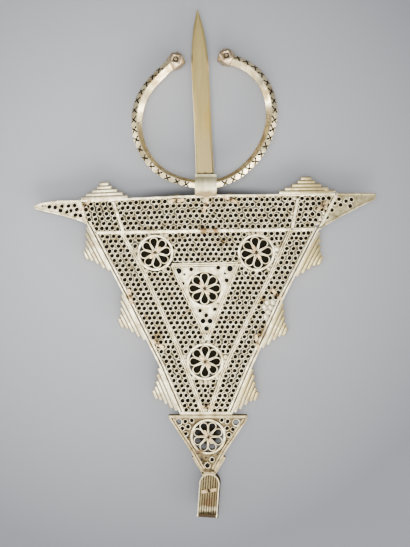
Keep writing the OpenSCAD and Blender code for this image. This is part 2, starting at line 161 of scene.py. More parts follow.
def vector(tree, operation, *sources, gives="Vector"):
    """What a Vector Math node gives."""
    return add_node(tree, "ShaderNodeVectorMath", enumerate(sources), operation=operation).outputs[gives]


def ramp(tree, value, start, stop, first=0, last=1, **settings):
    """A value that goes from first to last while another goes from start to stop."""
    feeds = (("Value", value), ("From Min", start), ("From Max", stop), ("To Min", first), ("To Max", last))
    return add_node(tree, "ShaderNodeMapRange", feeds, **settings).outputs["Result"]


def noise(tree, spot, scale, detail, roughness=0.5):
    """Soft clouds of this scale."""
    feeds = (("Vector", spot), ("Scale", scale), ("Detail", detail), ("Roughness", roughness))
    return add_node(tree, "ShaderNodeTexNoise", feeds).outputs["Fac"]


def mix_colour(tree, factor, first, second):
    """The second colour over the first, as far as the factor says."""
    feeds = ((0, factor), (6, first), (7, second))
    return add_node(tree, "ShaderNodeMix", feeds, data_type="RGBA").outputs[2]


def here(tree):
    """Where a point of the surface is, on the object's own axes."""
    return add_node(tree, "ShaderNodeTexCoord").outputs["Object"]


def height_of(tree, spot):
    """The upward part of a place or a direction."""
    return add_node(tree, "ShaderNodeSeparateXYZ", [(0, spot)]).outputs["Z"]


def distance(tree, middle, squash=(1, 1, 1)):
    """How far a point is from a place, with a weight for each axis."""
    apart = vector(tree, "SUBTRACT", here(tree), middle)
    return vector(tree, "LENGTH", vector(tree, "MULTIPLY", apart, squash), gives="Value")


print("Node helpers are ready")

# %% [markdown]
# A pale table with a painted pool of light, brighter round one place towards the window and
# dimmer further out. The brooch lies so close to it that hardly any light gets underneath. The
# soft lamps stand low and would light the table there, so painted shadows darken the table under
# the plate's and the apex's openings and against the straight edge, each in a soft round or long patch.

# %% Table
TABLE_SIZE = 4
# Painted pool of light on the table: bright round one place, fading to dim further out.
TABLE_PAINTED_LIGHT, TABLE_PAINTED_DIM = (0.38, 0.385, 0.4, 1), (0.145, 0.15, 0.165, 1)
PAINTED_LIGHT_MIDDLE = (-0.04, 0.04, 0)
PAINTED_LIGHT_WITHIN, PAINTED_LIGHT_BEYOND = 0.07, 0.22
# Painted shadows on the table under the brooch and beside its top edge.
PAINTED_SHADOW_UNDER_BROOCH, PAINTED_SHADOW_BESIDE_EDGE = (0.02, 0.02, 0.018, 1), (0.08, 0.082, 0.088, 1)
PAINTED_SHADOWS = [  # pixels of the middle, squash, dark within and clear beyond in mm, colour
    (206, 272, (1, 1, 1), 37, 43, PAINTED_SHADOW_UNDER_BROOCH), (207.5, 430, (1, 1, 1), 6.5, 15, PAINTED_SHADOW_UNDER_BROOCH),
    (207.5, 465.5, (1, 1, 1), 2, 4, PAINTED_SHADOW_UNDER_BROOCH), (207.5, 194.5, (0.12, 1, 1), 2, 7.5, PAINTED_SHADOW_BESIDE_EDGE),
]
bpy.ops.object.select_all(action="DESELECT")
bpy.ops.mesh.primitive_plane_add(size=TABLE_SIZE, location=(0, 0, 0))
table = bpy.context.object
table.name = "table"
table_paint = bpy.data.materials.new("table_grey")
table_paint.use_nodes = True
tree = table_paint.node_tree
paint = tree.nodes["Principled BSDF"].inputs
paint["Roughness"].default_value = 0.8
painted_light_mask = ramp(tree, distance(tree, PAINTED_LIGHT_MIDDLE), PAINTED_LIGHT_WITHIN, PAINTED_LIGHT_BEYOND)
tone = mix_colour(tree, painted_light_mask, TABLE_PAINTED_LIGHT, TABLE_PAINTED_DIM)
for x, y, squash, near, far, shade in PAINTED_SHADOWS:
    apart = distance(tree, (*in_photo(x, y), 0), squash)
    painted_light_mask = ramp(tree, apart, near * MM, far * MM, interpolation_type="SMOOTHSTEP")
    tone = mix_colour(tree, painted_light_mask, shade, tone)
tree.links.new(tone, paint["Base Color"])
table.data.materials.append(table_paint)
print("Darker patches on the table:", len(PAINTED_SHADOWS))

# %% [markdown]
# Soft light. A broad window low in front gives the bright lower edges, a lamp on the left the
# shadows towards the right, and a soft one overhead, with the painted pool of light on the table,
# the brighter middle of the table. The dome is dark behind, because polished silver shows what
# stands round it, and in the photograph every side that faces the top of the picture is dark.
# Seen straight from a low camera, the dome is an even pale wall, so that the table ends in
# something plain.

# %% Light
WARM, COOL = (1, 0.98, 0.95), (0.97, 0.98, 1)
DARK_SIDE, BRIGHT_SIDE = -0.35, 1.2
DARK_LIGHT, BRIGHT_LIGHT, WALL_LIGHT = 0.03, 1.3, 0.55
LAMPS = [  # name, place, aim, side in metres, power in watts, tint
    ("front", (0.1, -1.25, 0.45), (0, 0, 0), 0.85, 28, WARM),
    ("front_right", (1.05, -0.8, 0.3), (0, 0, 0), 0.8, 27, WARM),
    ("front_left", (-0.95, -0.75, 0.3), (0, 0, 0), 0.7, 5, WARM),
    ("left", (-1.15, 0.12, 0.18), (0, 0, 0), 0.32, 4, WARM),
    ("right", (1.15, 0.12, 0.18), (0, 0, 0), 0.32, 4, WARM),
    ("ceiling", (-0.08, -0.04, 0.66), (-0.08, -0.02, 0), 0.4, 3.4, COOL),
]
world = bpy.data.worlds.new("studio")
world.use_nodes = True
tree = world.node_tree
way = add_node(tree, "ShaderNodeTexCoord").outputs["Generated"]
way = add_node(tree, "ShaderNodeSeparateXYZ", [(0, way)]).outputs
slope = number(tree, "SUBTRACT", way["Z"], way["Y"])
dome = ramp(tree, slope, DARK_SIDE, BRIGHT_SIDE, DARK_LIGHT, BRIGHT_LIGHT)
seen = add_node(tree, "ShaderNodeLightPath").outputs["Is Camera Ray"]
wall = add_node(tree, "ShaderNodeMix", [("Factor", seen), ("A", dome), ("B", WALL_LIGHT)]).outputs["Result"]
background = tree.nodes["Background"].inputs
background["Color"].default_value = (*COOL, 1)
tree.links.new(wall, background["Strength"])
bpy.context.scene.world = world
for name, place, aim, side, power, tint in LAMPS:
    data = bpy.data.lights.new(name, "AREA")
    data.size, data.energy, data.color = side, power, tint
    light = bpy.data.objects.new(name, data)
    light.location = place
    light.rotation_euler = (Vector(aim) - Vector(place)).to_track_quat("-Z", "Y").to_euler()
    scene_objects.link(light)
print("Lamps:", [name for name, *_ in LAMPS])

# %% [markdown]
# Finishes. Old silver is cream where hands and cloth polish it, and brown where they don't reach.
# Four effects give the pieces their looks, so each is a node group that is built once.
# *Handled silver* mixes a bright and a dull tone by soft noise. The second darkens what lies
# below a height: painted shade in bores, grooves and the hollows under the plate, and dark colour
# in the engraving and between the strap's ribs. The third lays a coloured patch round a place:
# real tints, rust and solder marks, and also painted highlights and painted shade. The fourth is a
# painted highlight along the edge of a long piece.

# %% Group helper
COLOUR, NUMBER, PLACE = "NodeSocketColor", "NodeSocketFloat", "NodeSocketVector"
KINDS = {4: COLOUR, 3: PLACE, 1: NUMBER}


def new_group(name, takes, gives):
    """A shader node group, the sockets that it takes, and the sockets that it gives."""
    group = bpy.data.node_groups.new(name, "ShaderNodeTree")
    for label, value in takes.items():
        kind = KINDS[np.size(value)]
        group.interface.new_socket(label, in_out="INPUT", socket_type=kind).default_value = value
    for label, kind in gives.items():
        group.interface.new_socket(label, in_out="OUTPUT", socket_type=kind)
    print("Node group", name, "takes", list(takes))
    return group, group.nodes.new("NodeGroupInput").outputs, group.nodes.new("NodeGroupOutput").inputs


def give(tree, out, **results):
    """Links each result to the group's output of that name."""
    for label, socket in results.items():
        tree.links.new(socket, out[label])


# %% Handled silver
GRAIN_FINENESS = 7
TONE_FROM, TONE_TO = 0.38, 0.66
GLOSS_FROM, GLOSS_TO = 0.35, 0.7
handled, into, out = new_group(
    "handled_silver",
    {"Bright": (0.9, 0.86, 0.75, 1), "Dull": (0.6, 0.55, 0.42, 1), "Scale": 120, "Stretch": (1, 1, 1),
     "Smooth": 0.3, "Rough": 0.5},
    {"Color": COLOUR, "Roughness": NUMBER, "Height": NUMBER},
)
spot = vector(handled, "MULTIPLY", here(handled), into["Stretch"])
clouds = noise(handled, spot, into["Scale"], detail=5, roughness=0.6)
fine = number(handled, "MULTIPLY", into["Scale"], GRAIN_FINENESS)
tone = mix_colour(handled, ramp(handled, clouds, TONE_FROM, TONE_TO), into["Bright"], into["Dull"])
gloss = ramp(handled, clouds, GLOSS_FROM, GLOSS_TO, into["Smooth"], into["Rough"])
give(handled, out, Color=tone, Roughness=gloss, Height=noise(handled, spot, fine, detail=3))

# %% Recess
STEEP = 0.5
recess_shade_and_dirt, into, out = new_group(
    "recess_shade_and_dirt",
    {"Color": (1, 1, 1, 1), "Dark": (0.02, 0.017, 0.012, 1), "Low": 0, "High": 0.001, "Upward": 0,
     "Roughness": 0.4},
    {"Color": COLOUR, "Clean": NUMBER, "Roughness": NUMBER},
)
# Below a height the colour turns dark: painted shade in bores, grooves and the hollows under the plate, and
# dark colour in the engraving and between the strap's ribs.
undarkened = ramp(recess_shade_and_dirt, height_of(recess_shade_and_dirt, here(recess_shade_and_dirt)), into["Low"], into["High"])
facing = height_of(recess_shade_and_dirt, add_node(recess_shade_and_dirt, "ShaderNodeNewGeometry").outputs["Normal"])
spared = number(recess_shade_and_dirt, "MULTIPLY", number(recess_shade_and_dirt, "LESS_THAN", facing, STEEP), into["Upward"])
undarkened = number(recess_shade_and_dirt, "MAXIMUM", undarkened, spared)
tone = mix_colour(recess_shade_and_dirt, undarkened, into["Dark"], into["Color"])
give(recess_shade_and_dirt, out, Color=tone, Clean=undarkened, Roughness=ramp(recess_shade_and_dirt, undarkened, 0, 1, 1, into["Roughness"]))

# %% Coloured patches and painted light
RAGGED_SCALE = 500
OUTSIDE, WITHIN = 1.15, 0.75
stain, into, out = new_group(
    "stain",
    {"Color": (1, 1, 1, 1), "Stain": (0.3, 0.16, 0.08, 1), "Middle": (0, 0, 0), "Reach": 0.01,
     "Squash": (1, 1, 1)},
    {"Color": COLOUR},
)
# A coloured patch round a place: real tints, rust and solder marks, and also painted highlight and painted
# shade on the tail strap and round the studs.
share = number(stain, "DIVIDE", distance(stain, into["Middle"], into["Squash"]), into["Reach"])
edge = number(stain, "ADD", share, noise(stain, here(stain), RAGGED_SCALE, detail=3))
give(stain, out, Color=mix_colour(stain, ramp(stain, edge, OUTSIDE, WITHIN), into["Color"], into["Stain"]))

# %% Painted edge highlight
painted_edge_highlight, into, out = new_group(
    "painted_edge_highlight",
    {"Color": (1, 1, 1, 1), "Rim": (0.9, 0.78, 0.5, 1), "Middle": (0, 0, 0), "Axis": (0, -1, 0),
     "Length": 0.02, "Low": 0.005, "High": 0.0055, "Level": 0},
    {"Color": COLOUR},
)
# Painted highlight: the edge of a long piece, along an axis and above a height, gets a bright colour.
flat = vector(painted_edge_highlight, "MULTIPLY", here(painted_edge_highlight), (1, 1, 0))
reach = vector(painted_edge_highlight, "SUBTRACT", flat, into["Middle"])
along = vector(painted_edge_highlight, "DOT_PRODUCT", reach, into["Axis"], gives="Value")
along = number(painted_edge_highlight, "MINIMUM", number(painted_edge_highlight, "MAXIMUM", along, 0), into["Length"])
feeds = [(0, into["Axis"]), ("Scale", along)]
foot = add_node(painted_edge_highlight, "ShaderNodeVectorMath", feeds, operation="SCALE").outputs["Vector"]
off = vector(painted_edge_highlight, "DISTANCE", reach, foot, gives="Value")
tall = number(painted_edge_highlight, "GREATER_THAN", height_of(painted_edge_highlight, here(painted_edge_highlight)), into["Level"])
rim = number(painted_edge_highlight, "MULTIPLY", ramp(painted_edge_highlight, off, into["Low"], into["High"]), tall)
give(painted_edge_highlight, out, Color=mix_colour(painted_edge_highlight, rim, into["Color"], into["Rim"]))

# %% [markdown]
# One function builds every silver on the brooch: the handled metal first, then its coloured
# patches, some of them painted light and shade, then the darkening below a height, mostly painted
# shade, then the painted edge highlight. Where a piece is darkened, it isn't metallic either. The grain goes
# to a bump.

# %% One silver for each kind of piece
GRAIN_DEPTH = 0.2 * MM


def place_group(tree, group, **values):
    """A node group placed in a material with its own values: the sockets that it gives."""
    return add_node(tree, "ShaderNodeGroup", values.items(), node_tree=group).outputs


def silver(name, bright, dull, scale=120, stretch=(1, 1, 1), smooth=0.28, rough=0.5, metallic=1, grain=0.25,
           dark=None, low=0, high=1, upward=0, stains=(), rim=None):
    """Handled silver, with coloured patches round places, darkening below a height, mostly painted shade, and
    a painted highlight along an edge round an axis.
    """
    finish = bpy.data.materials.new(name)
    finish.use_nodes = True
    tree = finish.node_tree
    shader = tree.nodes["Principled BSDF"].inputs
    shader["Metallic"].default_value = metallic
    shader["Specular IOR Level"].default_value = 0.1
    metal = place_group(tree, handled, Bright=(*bright, 1), Dull=(*dull, 1), Scale=scale, Stretch=stretch,
                        Smooth=smooth, Rough=rough)
    colour, roughness = metal["Color"], metal["Roughness"]
    for tint, place, reach, squash in stains:
        colour = place_group(tree, stain, Color=colour, Stain=(*tint, 1), Middle=place, Reach=reach,
                             Squash=squash)["Color"]
    if dark:
        shade_and_dirt = place_group(tree, recess_shade_and_dirt, Color=colour, Dark=(*dark, 1), Low=low, High=high, Upward=upward,
                           Roughness=roughness)
        colour, roughness = shade_and_dirt["Color"], shade_and_dirt["Roughness"]
        tree.links.new(shade_and_dirt["Clean"], shader["Metallic"])
    if rim:
        colour = place_group(tree, painted_edge_highlight, Color=colour, **rim)["Color"]
    tree.links.new(colour, shader["Base Color"])
    tree.links.new(roughness, shader["Roughness"])
    bump = [("Strength", grain), ("Distance", GRAIN_DEPTH), ("Height", metal["Height"])]
    tree.links.new(add_node(tree, "ShaderNodeBump", bump).outputs["Normal"], shader["Normal"])
    return finish


def patch(tint, x, y, reach, squash=(1, 1, 1), top=plate_high):
    """A coloured patch round a place in the photograph, with its reach in millimetres: real marks, and also
    painted highlights and shade.
    """
    return tint, (*in_photo(x, y), top), reach * MM, squash


# %% [markdown]
# The plate is cream on top and brown where solder ran, and its bores and grooves are painted
# black as shade. Its pieces share two cream tones and the same rust and solder patches, so that
# the plate looks of one age, and they differ in the height at which their painted shade starts.

# %% Silvers of the plate
CREAM, CREAM_DULL = (1, 0.9, 0.6), (0.58, 0.46, 0.24)
RUST, TAN = (0.22, 0.13, 0.055), (0.36, 0.25, 0.11)
apex_patch = patch(RUST, 199, 452, 4.5)
patches = [patch(*p) for p in (
    (TAN, 263, 334, 7), (TAN, 158, 335, 6), (RUST, 203, 230, 6), (RUST, 216, 231, 5), (TAN, 262, 300, 5),
    (TAN, 223, 241, 5), (TAN, 206, 199, 4), (TAN, 130, 297, 4), (TAN, 175, 200, 4.5), (TAN, 231, 200, 4),
    (TAN, 277, 295, 4))] + [apex_patch]
yellowed = [patch((0.6, 0.48, 0.22), x, y, 30) for x, y in ((310, 190), (310, 255), (290, 315), (250, 385))]
lattice_high = below(0.3)
# Painted shade in the grooves and on the lower sides of the strips.
groove_painted_shade = {"dark": (0.04, 0.032, 0.02), "low": below(1.5), "high": below(0.4)}
# The lattice's bores are painted black a little below the lip, as shade.
lattice_silver = silver(
    "lattice_silver", CREAM, CREAM_DULL, scale=230, stains=patches,
    dark=(0.012, 0.01, 0.006), low=below(0.6), high=below(0.37))
# The apex sheet is painted dark brown as the shade between its tubes, with the apex's rust patch.
sheet_painted_shade = silver(
    "sheet_painted_shade", (0.17, 0.125, 0.06), (0.06, 0.042, 0.02), scale=300, smooth=0.35, rough=0.6,
    stains=[apex_patch])
horn_silver = silver("horn_silver", (0.5, 0.42, 0.23), (0.2, 0.16, 0.08), scale=260, **groove_painted_shade)
apex_silver = silver(
    "apex_silver", (0.54, 0.44, 0.24), (0.27, 0.2, 0.095), scale=230, stains=[apex_patch], **groove_painted_shade)
# The floors of the grooves between the crest's bars are painted dark as shade.
crest_silver = silver(
    "crest_silver", CREAM, CREAM_DULL, scale=200, stains=yellowed,
    dark=(0.2, 0.16, 0.1), low=below(0.75), high=below(0.35), upward=1)
strip_silver = silver("strip_silver", CREAM, CREAM_DULL, scale=230, stains=patches, **groove_painted_shade)
print("Finishes:", [m.name for m in bpy.data.materials if m.use_nodes])

# %% [markdown]
# Small helpers for the bench. Every piece starts with nothing selected, because an operator
# acts on all that is selected, and is shaped in edit mode.

# %% Bench helpers
def clear_bench():
    """Leaves edit mode and deselects everything."""
    if bpy.context.mode != "OBJECT":
        bpy.ops.object.mode_set(mode="OBJECT")
    bpy.ops.object.select_all(action="DESELECT")


def pick(*objects):
    """Selects just these objects and makes the first one active."""
    clear_bench()
    for o in objects:
        o.select_set(True)
    bpy.context.view_layer.objects.active = objects[0]


def add_alone(operator, **settings):
    """Runs an operator that adds a primitive, with nothing else selected."""
    clear_bench()
    operator(**settings)
    return bpy.context.object


def edit_all(piece):
    """Opens a piece in edit mode with everything selected."""
    pick(piece)
    bpy.ops.object.mode_set(mode="EDIT")
    bpy.ops.mesh.select_all(action="SELECT")


def extrude(x, y, z):
    """Extrudes what is selected, and moves it."""
    bpy.ops.mesh.extrude_region_move(TRANSFORM_OT_translate={"value": (x, y, z)})


# %% [markdown]
# A modifier is applied as soon as it is added, and a cutter is removed once it has cut. Parts
# are joined into one mesh, as solder joins them on the bench. `finish_piece` leaves the piece
# at the origin and gives it its body, its slot, its material and its smooth faces.

# %% Joining and finishing
def apply_modifier(piece, kind, **settings):
    """Adds a modifier and applies it at once."""
    pick(piece)
    modifier = piece.modifiers.new(kind.lower(), kind)
    for key, value in settings.items():
        setattr(modifier, key, value)
    bpy.ops.object.modifier_apply(modifier=modifier.name)


def cut(piece, cutter, **settings):
    """Takes a cutter's shape out of a piece, and removes the cutter."""
    settings.update(operation="DIFFERENCE", solver="EXACT", use_self=True)
    apply_modifier(piece, "BOOLEAN", object=cutter, **settings)
    discard(cutter)


def apply_place(*objects):
    """Puts the objects' place, turn and scale into their meshes."""
    pick(*objects)
    bpy.ops.object.transform_apply(location=True, rotation=True, scale=True)


def join(name, parts):
    """One mesh of several, with every place applied."""
    pick(*parts)
    bpy.ops.object.join()
    piece = bpy.context.object
    piece.name = name
    piece.data.name = name
    apply_place(piece)
    return piece


def finish_piece(piece, material, body="brooch", smooth=35):
    """Normals out, smooth faces between sharp edges, material, body and slot."""
    apply_place(piece)
    edit_all(piece)
    bpy.ops.mesh.normals_make_consistent(inside=False)
    pick(piece)
    bpy.ops.object.shade_smooth_by_angle(angle=math.radians(smooth))
    piece.data.materials.clear()
    piece.data.materials.append(material)
    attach(piece, body)
    print(piece.name, sum(len(p.vertices) - 2 for p in piece.data.polygons), "triangles")
    return piece


def solder_to_plate(name, parts, material, smooth=35):
    """Joins parts to one finished piece that stands for the plate."""
    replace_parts(finish_piece(join(name, parts), material, smooth=smooth), "plate")


def copy_of(piece, place=(0, 0), turn=0, scale=1):
    """A copy with its own mesh, moved, turned about Z and scaled."""
    twin = piece.copy()
    twin.data = piece.data.copy()
    scene_objects.link(twin)
    twin.location = (place[0], place[1], 0)
    twin.rotation_euler.z = turn
    twin.scale = (scale, scale, 1)
    return twin


def discard(*objects):
    """Removes a cutter, or a pattern piece once its copies are made."""
    for o in objects:
        bpy.data.objects.remove(o)


# %% [markdown]
# Strips of sheet silver on edge make the rails, the double edges, the petals and the rims.
# On the bench such a strip is bent with pliers. Here its line is extruded corner by corner
# from one point, raised to the plate's thickness and given its width by Solidify, and a small
# bevel takes off the sharp edge that a file would take off too.

# %% Strips on edge
SAME_CORNER = 0.01 * MM
FILED, ROUNDED = 0.18 * MM, 0.3 * MM
SHARP = math.radians(50)


def trace_line(points, closed):
    """Extrudes a line through the points, from a plane merged to one corner."""
    edit_all(add_alone(bpy.ops.mesh.primitive_plane_add, size=MM, location=(0, 0, 0)))
    bpy.ops.mesh.merge(type="CENTER")
    corners = [Vector((p[0], p[1], 0)) for p in points]
    bpy.ops.transform.translate(value=corners[0])
    for start, stop in zip(corners, corners[1:] + (corners[:1] if closed else [])):
        extrude(*(stop - start))
    bpy.ops.mesh.select_all(action="SELECT")
    bpy.ops.mesh.remove_doubles(threshold=SAME_CORNER)
    return bpy.context.object


def raise_up(low, high):
    """Moves what is selected to one height and extrudes it to another, with its faces out."""
    bpy.ops.transform.translate(value=(0, 0, low))
    extrude(0, 0, high - low)
    bpy.ops.mesh.select_all(action="SELECT")
    bpy.ops.mesh.normals_make_consistent(inside=False)


def strip(points, width, low=plate_low, high=plate_high, closed=False, bevel=FILED):
    """A strip on edge along the points."""
    piece = trace_line(points, closed)
    raise_up(low, high)
    apply_modifier(piece, "SOLIDIFY", thickness=width, offset=0, use_even_offset=True)
    if bevel:
        apply_modifier(piece, "BEVEL", width=bevel, segments=1, limit_method="ANGLE", angle_limit=SHARP)
    return piece


def slab(points, high):
    """A flat plate with this outline."""
    piece = trace_line(points, True)
    bpy.ops.mesh.edge_face_add()
    raise_up(plate_low, high)
    clear_bench()
    return piece


def beside(points, away):
    """The line moved sideways: to its right for a positive distance."""
    moved = []
    for i, p in enumerate(points):
        before = (p - points[i - 1]).normalized() if i else None
        after = (points[i + 1] - p).normalized() if i < len(points) - 1 else None
        sides = [Vector((d.y, -d.x)) for d in (before, after) if d]
        total = sum(sides, Vector((0, 0)))
        moved.append(p + total * (away * len(sides) / total.length_squared))
    return moved


# %% [markdown]
# The plate's skeleton of strips: the long top edge, the rail under it, the double strips down
# both sides, the two pairs that bound the middle, and the triangle in the centre.

# %% Strips of the plate
TOP_EDGE = on_plate((-1, 0.977), (-0.1, 1), (1, 1.009))
LEFT_SIDE = on_plate((-0.946, 0.872), (-0.674, 0.567), (-0.38, 0.223), (-0.217, 0))
RIGHT_SIDE = on_plate((0.864, 0.845), (0.581, 0.522), (0.341, 0.216), (0.186, 0))
LEFT_ROOT = [TOP_EDGE[0], LEFT_SIDE[0]]
RIGHT_ROOT = [TOP_EDGE[-1], RIGHT_SIDE[0]]
FOOT = [LEFT_SIDE[-1], RIGHT_SIDE[-1]]
RAIL = on_plate((-0.88, 0.828), (0.83, 0.845))
LEFT_DIVIDER = on_plate((-0.736, 0.97), (-0.659, 0.835))
RIGHT_DIVIDER = on_plate((0.698, 0.985), (0.651, 0.84))
LEFT_STRIP = on_plate((-0.668, 0.828), (-0.504, 0.658), (-0.364, 0.476), (-0.225, 0.294), (-0.04, 0.01))
RIGHT_STRIP = on_plate((0.636, 0.838), (0.473, 0.622), (0.248, 0.362), (0.109, 0.185), (0.01, 0.01))
TRIANGLE = on_plate((-0.279, 0.681), (0.233, 0.688), (-0.008, 0.34))
RAILS = (LEFT_ROOT, RIGHT_ROOT, RAIL, LEFT_DIVIDER, RIGHT_DIVIDER)
EDGE_WIDTH = 1.1 * MM
EDGE_GAP = 0.8 * MM
TOP_WIDTH = EDGE_WIDTH * 1.2
RAIL_WIDTH = 1.7 * MM
PAIR_WIDTH = 1.9 * MM
WIRE_WIDTH = 0.75 * MM
FOOT_GROOVE = 0.9 * MM
FOOT_GROOVE_DEPTH = 0.7
plate_strips = [strip(beside(line, away), width) for line, away, width in (
    (TOP_EDGE, TOP_WIDTH / 2, TOP_WIDTH),
    (LEFT_SIDE, -EDGE_WIDTH / 2, EDGE_WIDTH), (LEFT_SIDE, -EDGE_WIDTH * 1.5 - EDGE_GAP, EDGE_WIDTH),
    (RIGHT_SIDE, EDGE_WIDTH / 2, EDGE_WIDTH), (RIGHT_SIDE, EDGE_WIDTH * 1.5 + EDGE_GAP, EDGE_WIDTH),
    (FOOT, -(EDGE_WIDTH + FOOT_GROOVE) / 2, EDGE_WIDTH),
)]
plate_strips.append(strip(FOOT, 2 * FOOT_GROOVE, high=below(FOOT_GROOVE_DEPTH), bevel=0))
plate_strips += [strip(line, RAIL_WIDTH) for line in RAILS]
for line in (LEFT_STRIP, RIGHT_STRIP, TRIANGLE[:2], TRIANGLE[1:], [TRIANGLE[2], TRIANGLE[0]]):
    for side in (-1, 1):
        plate_strips.append(strip(beside(line, side * (PAIR_WIDTH - WIRE_WIDTH) / 2), WIRE_WIDTH))
solder_to_plate("plate_rails", plate_strips, strip_silver)

# %% [markdown]
# A rosette is a rim with eight drops of wire that meet at a small hub. One petal is bent once
# and copied eight times round the hub, and the whole flower is then copied to its places.

# %% Rosettes
ROSETTES = on_plate((-0.409, 0.737), (0.376, 0.738), (-0.026, 0.574), (-0.023, 0.241)) + on_apex((0, 0.34))
ROSETTE_TURNS = (8, 7, 0, 0, 22.5)
ROSETTE_SIZES = (1, 1.03, 1.035, 1.03, 0.98)
ROSETTE_RADIUS = 10.8 * MM
RIM_WIDTH = 1.3 * MM
RIM_CORNERS = 40
HUB_RADIUS = 1.2 * MM
HUB_DROP = 1.6
HUB_CORNERS = 16
PETALS = 8
PETAL_RADIUS = 2.35 * MM
PETAL_REACH = 6.75 * MM
PETAL_TIP = 1.3 * MM
PETAL_CORNERS = 11
PETAL_WIRE = 0.5 * MM
PETAL_LOW, PETAL_HIGH = plate_low + 0.2 * MM, below(0.1)


def circle(radius, corners):
    """The corners of a ring round the origin."""
    turns = (2 * math.pi * k / corners for k in range(corners))
    return [Vector((math.cos(a), math.sin(a))) * radius for a in turns]


def petal_line():
    """A drop: a point by the hub and an arc round its far end."""
    opening = math.acos(PETAL_RADIUS / (PETAL_REACH - PETAL_TIP))
    line = [Vector((0, PETAL_TIP))]
    for k in range(PETAL_CORNERS):
        turn = -math.pi / 2 + opening + (2 * math.pi - 2 * opening) * k / (PETAL_CORNERS - 1)
        line.append(Vector((PETAL_RADIUS * math.cos(turn), PETAL_REACH + PETAL_RADIUS * math.sin(turn))))
    return line


petal = strip(petal_line(), PETAL_WIRE, PETAL_LOW, PETAL_HIGH, closed=True, bevel=0.12 * MM)
flower = [copy_of(petal, turn=2 * math.pi * k / PETALS) for k in range(PETALS)]
rim_line = circle(ROSETTE_RADIUS - RIM_WIDTH / 2, RIM_CORNERS)
flower.append(strip(rim_line, RIM_WIDTH, closed=True, bevel=0.22 * MM))
hub_line = circle(HUB_RADIUS, HUB_CORNERS)
flower.append(strip(hub_line, RIM_WIDTH, PETAL_LOW, below(HUB_DROP), closed=True, bevel=0.15 * MM))
rosette = join("rosette", flower)
blooms = [
    copy_of(rosette, place, math.radians(turn), size)
    for place, turn, size in zip(ROSETTES, ROSETTE_TURNS, ROSETTE_SIZES)
]
discard(petal, rosette)
solder_to_plate("plate_rosettes", blooms, strip_silver)

# %% [markdown]
# The lattice. One tube is turned from a ring of ten corners: up its outside, over a rounded
# lip and down the bore. It is copied along rows that lie like honeycomb between the strips.
# A tube that is repeated eight hundred times has to stay light, so it has only a few dozen
# faces.

# %% One tube
TUBE_RADIUS = 1.72 * MM
TUBE_FLARE = 0.17 * MM
BORE_RADIUS = 1.22 * MM
TUBE_CORNERS = 10


def turn_profile(corners, profile):
    """A ring of corners, extruded from one (radius, height) to the next, and closed below."""
    radius, height = profile[0]
    piece = add_alone(bpy.ops.mesh.primitive_circle_add, vertices=corners, radius=radius, location=(0, 0, 0))
    edit_all(piece)
    bpy.ops.transform.translate(value=(0, 0, height))
    for (radius, height), (next_radius, next_height) in zip(profile, profile[1:]):
        extrude(0, 0, next_height - height)
        bpy.ops.transform.resize(value=(next_radius / radius, next_radius / radius, 1))
    bpy.ops.mesh.select_all(action="DESELECT")
    bpy.ops.mesh.select_mode(type="EDGE")
    bpy.ops.mesh.select_non_manifold()
    bpy.ops.mesh.bridge_edge_loops()
    bpy.ops.mesh.select_mode(type="VERT")
    clear_bench()
    return piece


def tube_pattern(outer, bore, high, waist):
    """A short tube with a flat lip and a solder fillet outside; its bore narrows to a waist."""
    return turn_profile(TUBE_CORNERS, [
        (outer + TUBE_FLARE, plate_low), (outer + TUBE_FLARE, high - 0.36 * MM),  # the fillet
        (outer - 0.06 * MM, high - 0.09 * MM), ((outer + bore) / 2, high),  # over the lip
        (bore + 0.08 * MM, high - 0.07 * MM), (bore, high - 0.3 * MM),  # into the bore
        (bore * waist, high - 1.4 * MM), (bore, plate_low),  # the waist and the foot
    ])


# The bore closes almost shut at its waist, and the lattice's painted shade turns the inside black, so that
# each bore looks dark all the way down.
small_tube = tube_pattern(TUBE_RADIUS, BORE_RADIUS, lattice_high, waist=0.05)
print("One tube:", len(small_tube.data.polygons), "faces")

# %% [markdown]
# A row is laid between the lines that bound it on four sides: over it, under it, left and
# right. Where a rosette or the centre triangle stands in its way, that stretch is left out.
# Short rows are spread evenly, and long ones keep one pitch, shifted by half in every other
# row, so that the tubes nest.

# %% One row
PITCH = 3.42 * MM
LONG_ROW = 7 * PITCH
ROW_SLACK = 0.3 * PITCH


def x_on(line, y):
    """Where a line that runs up or down crosses a height."""
    order = sorted(line, key=lambda p: p.y)
    return float(np.interp(y, [p.y for p in order], [p.x for p in order]))


def y_on(line, x):
    """The height of a line that runs across."""
    order = sorted(line, key=lambda p: p.x)
    return float(np.interp(x, [p.x for p in order], [p.y for p in order]))


def clear_of(line, y, gap, side, step=2 * MM):
    """The nearest x to a leaning line that keeps a true distance from it."""
    lean = (x_on(line, y + step) - x_on(line, y - step)) / (2 * step)
    return x_on(line, y) + side * gap * math.hypot(1, lean)


def without(spans, low, high):
    """The spans less one stretch."""
    kept = []
    for a, b in spans:
        kept += [(a, min(b, low)), (max(a, high), b)] if low < b and high > a else [(a, b)]
    return [(a, b) for a, b in kept if b >= a]


def spread(a, b, row):
    """Evenly spaced places from a to b, on the common pitch where the row is long."""
    count = round((b - a) / PITCH) + 1
    if b - a > LONG_ROW:
        shift = PITCH * (0.5 if row % 2 else 0)
        first = math.ceil((a - shift - ROW_SLACK) / PITCH)
        last = math.floor((b - shift + ROW_SLACK) / PITCH)
        a, b = max(a, first * PITCH + shift), min(b, last * PITCH + shift)
        count = last - first + 1
    return [(a + b) / 2] if count == 1 else [a + (b - a) * k / (count - 1) for k in range(count)]


print("A row of 20 mm holds", len(spread(0, 20 * MM, 0)), "tubes")

# %% [markdown]
# The band under the top edge has six rows in three fields, and the plate below the rail has
# thirty-seven rows in three: beside the left side, beside the right side, and the middle,
# where the rosettes and the centre triangle stand.

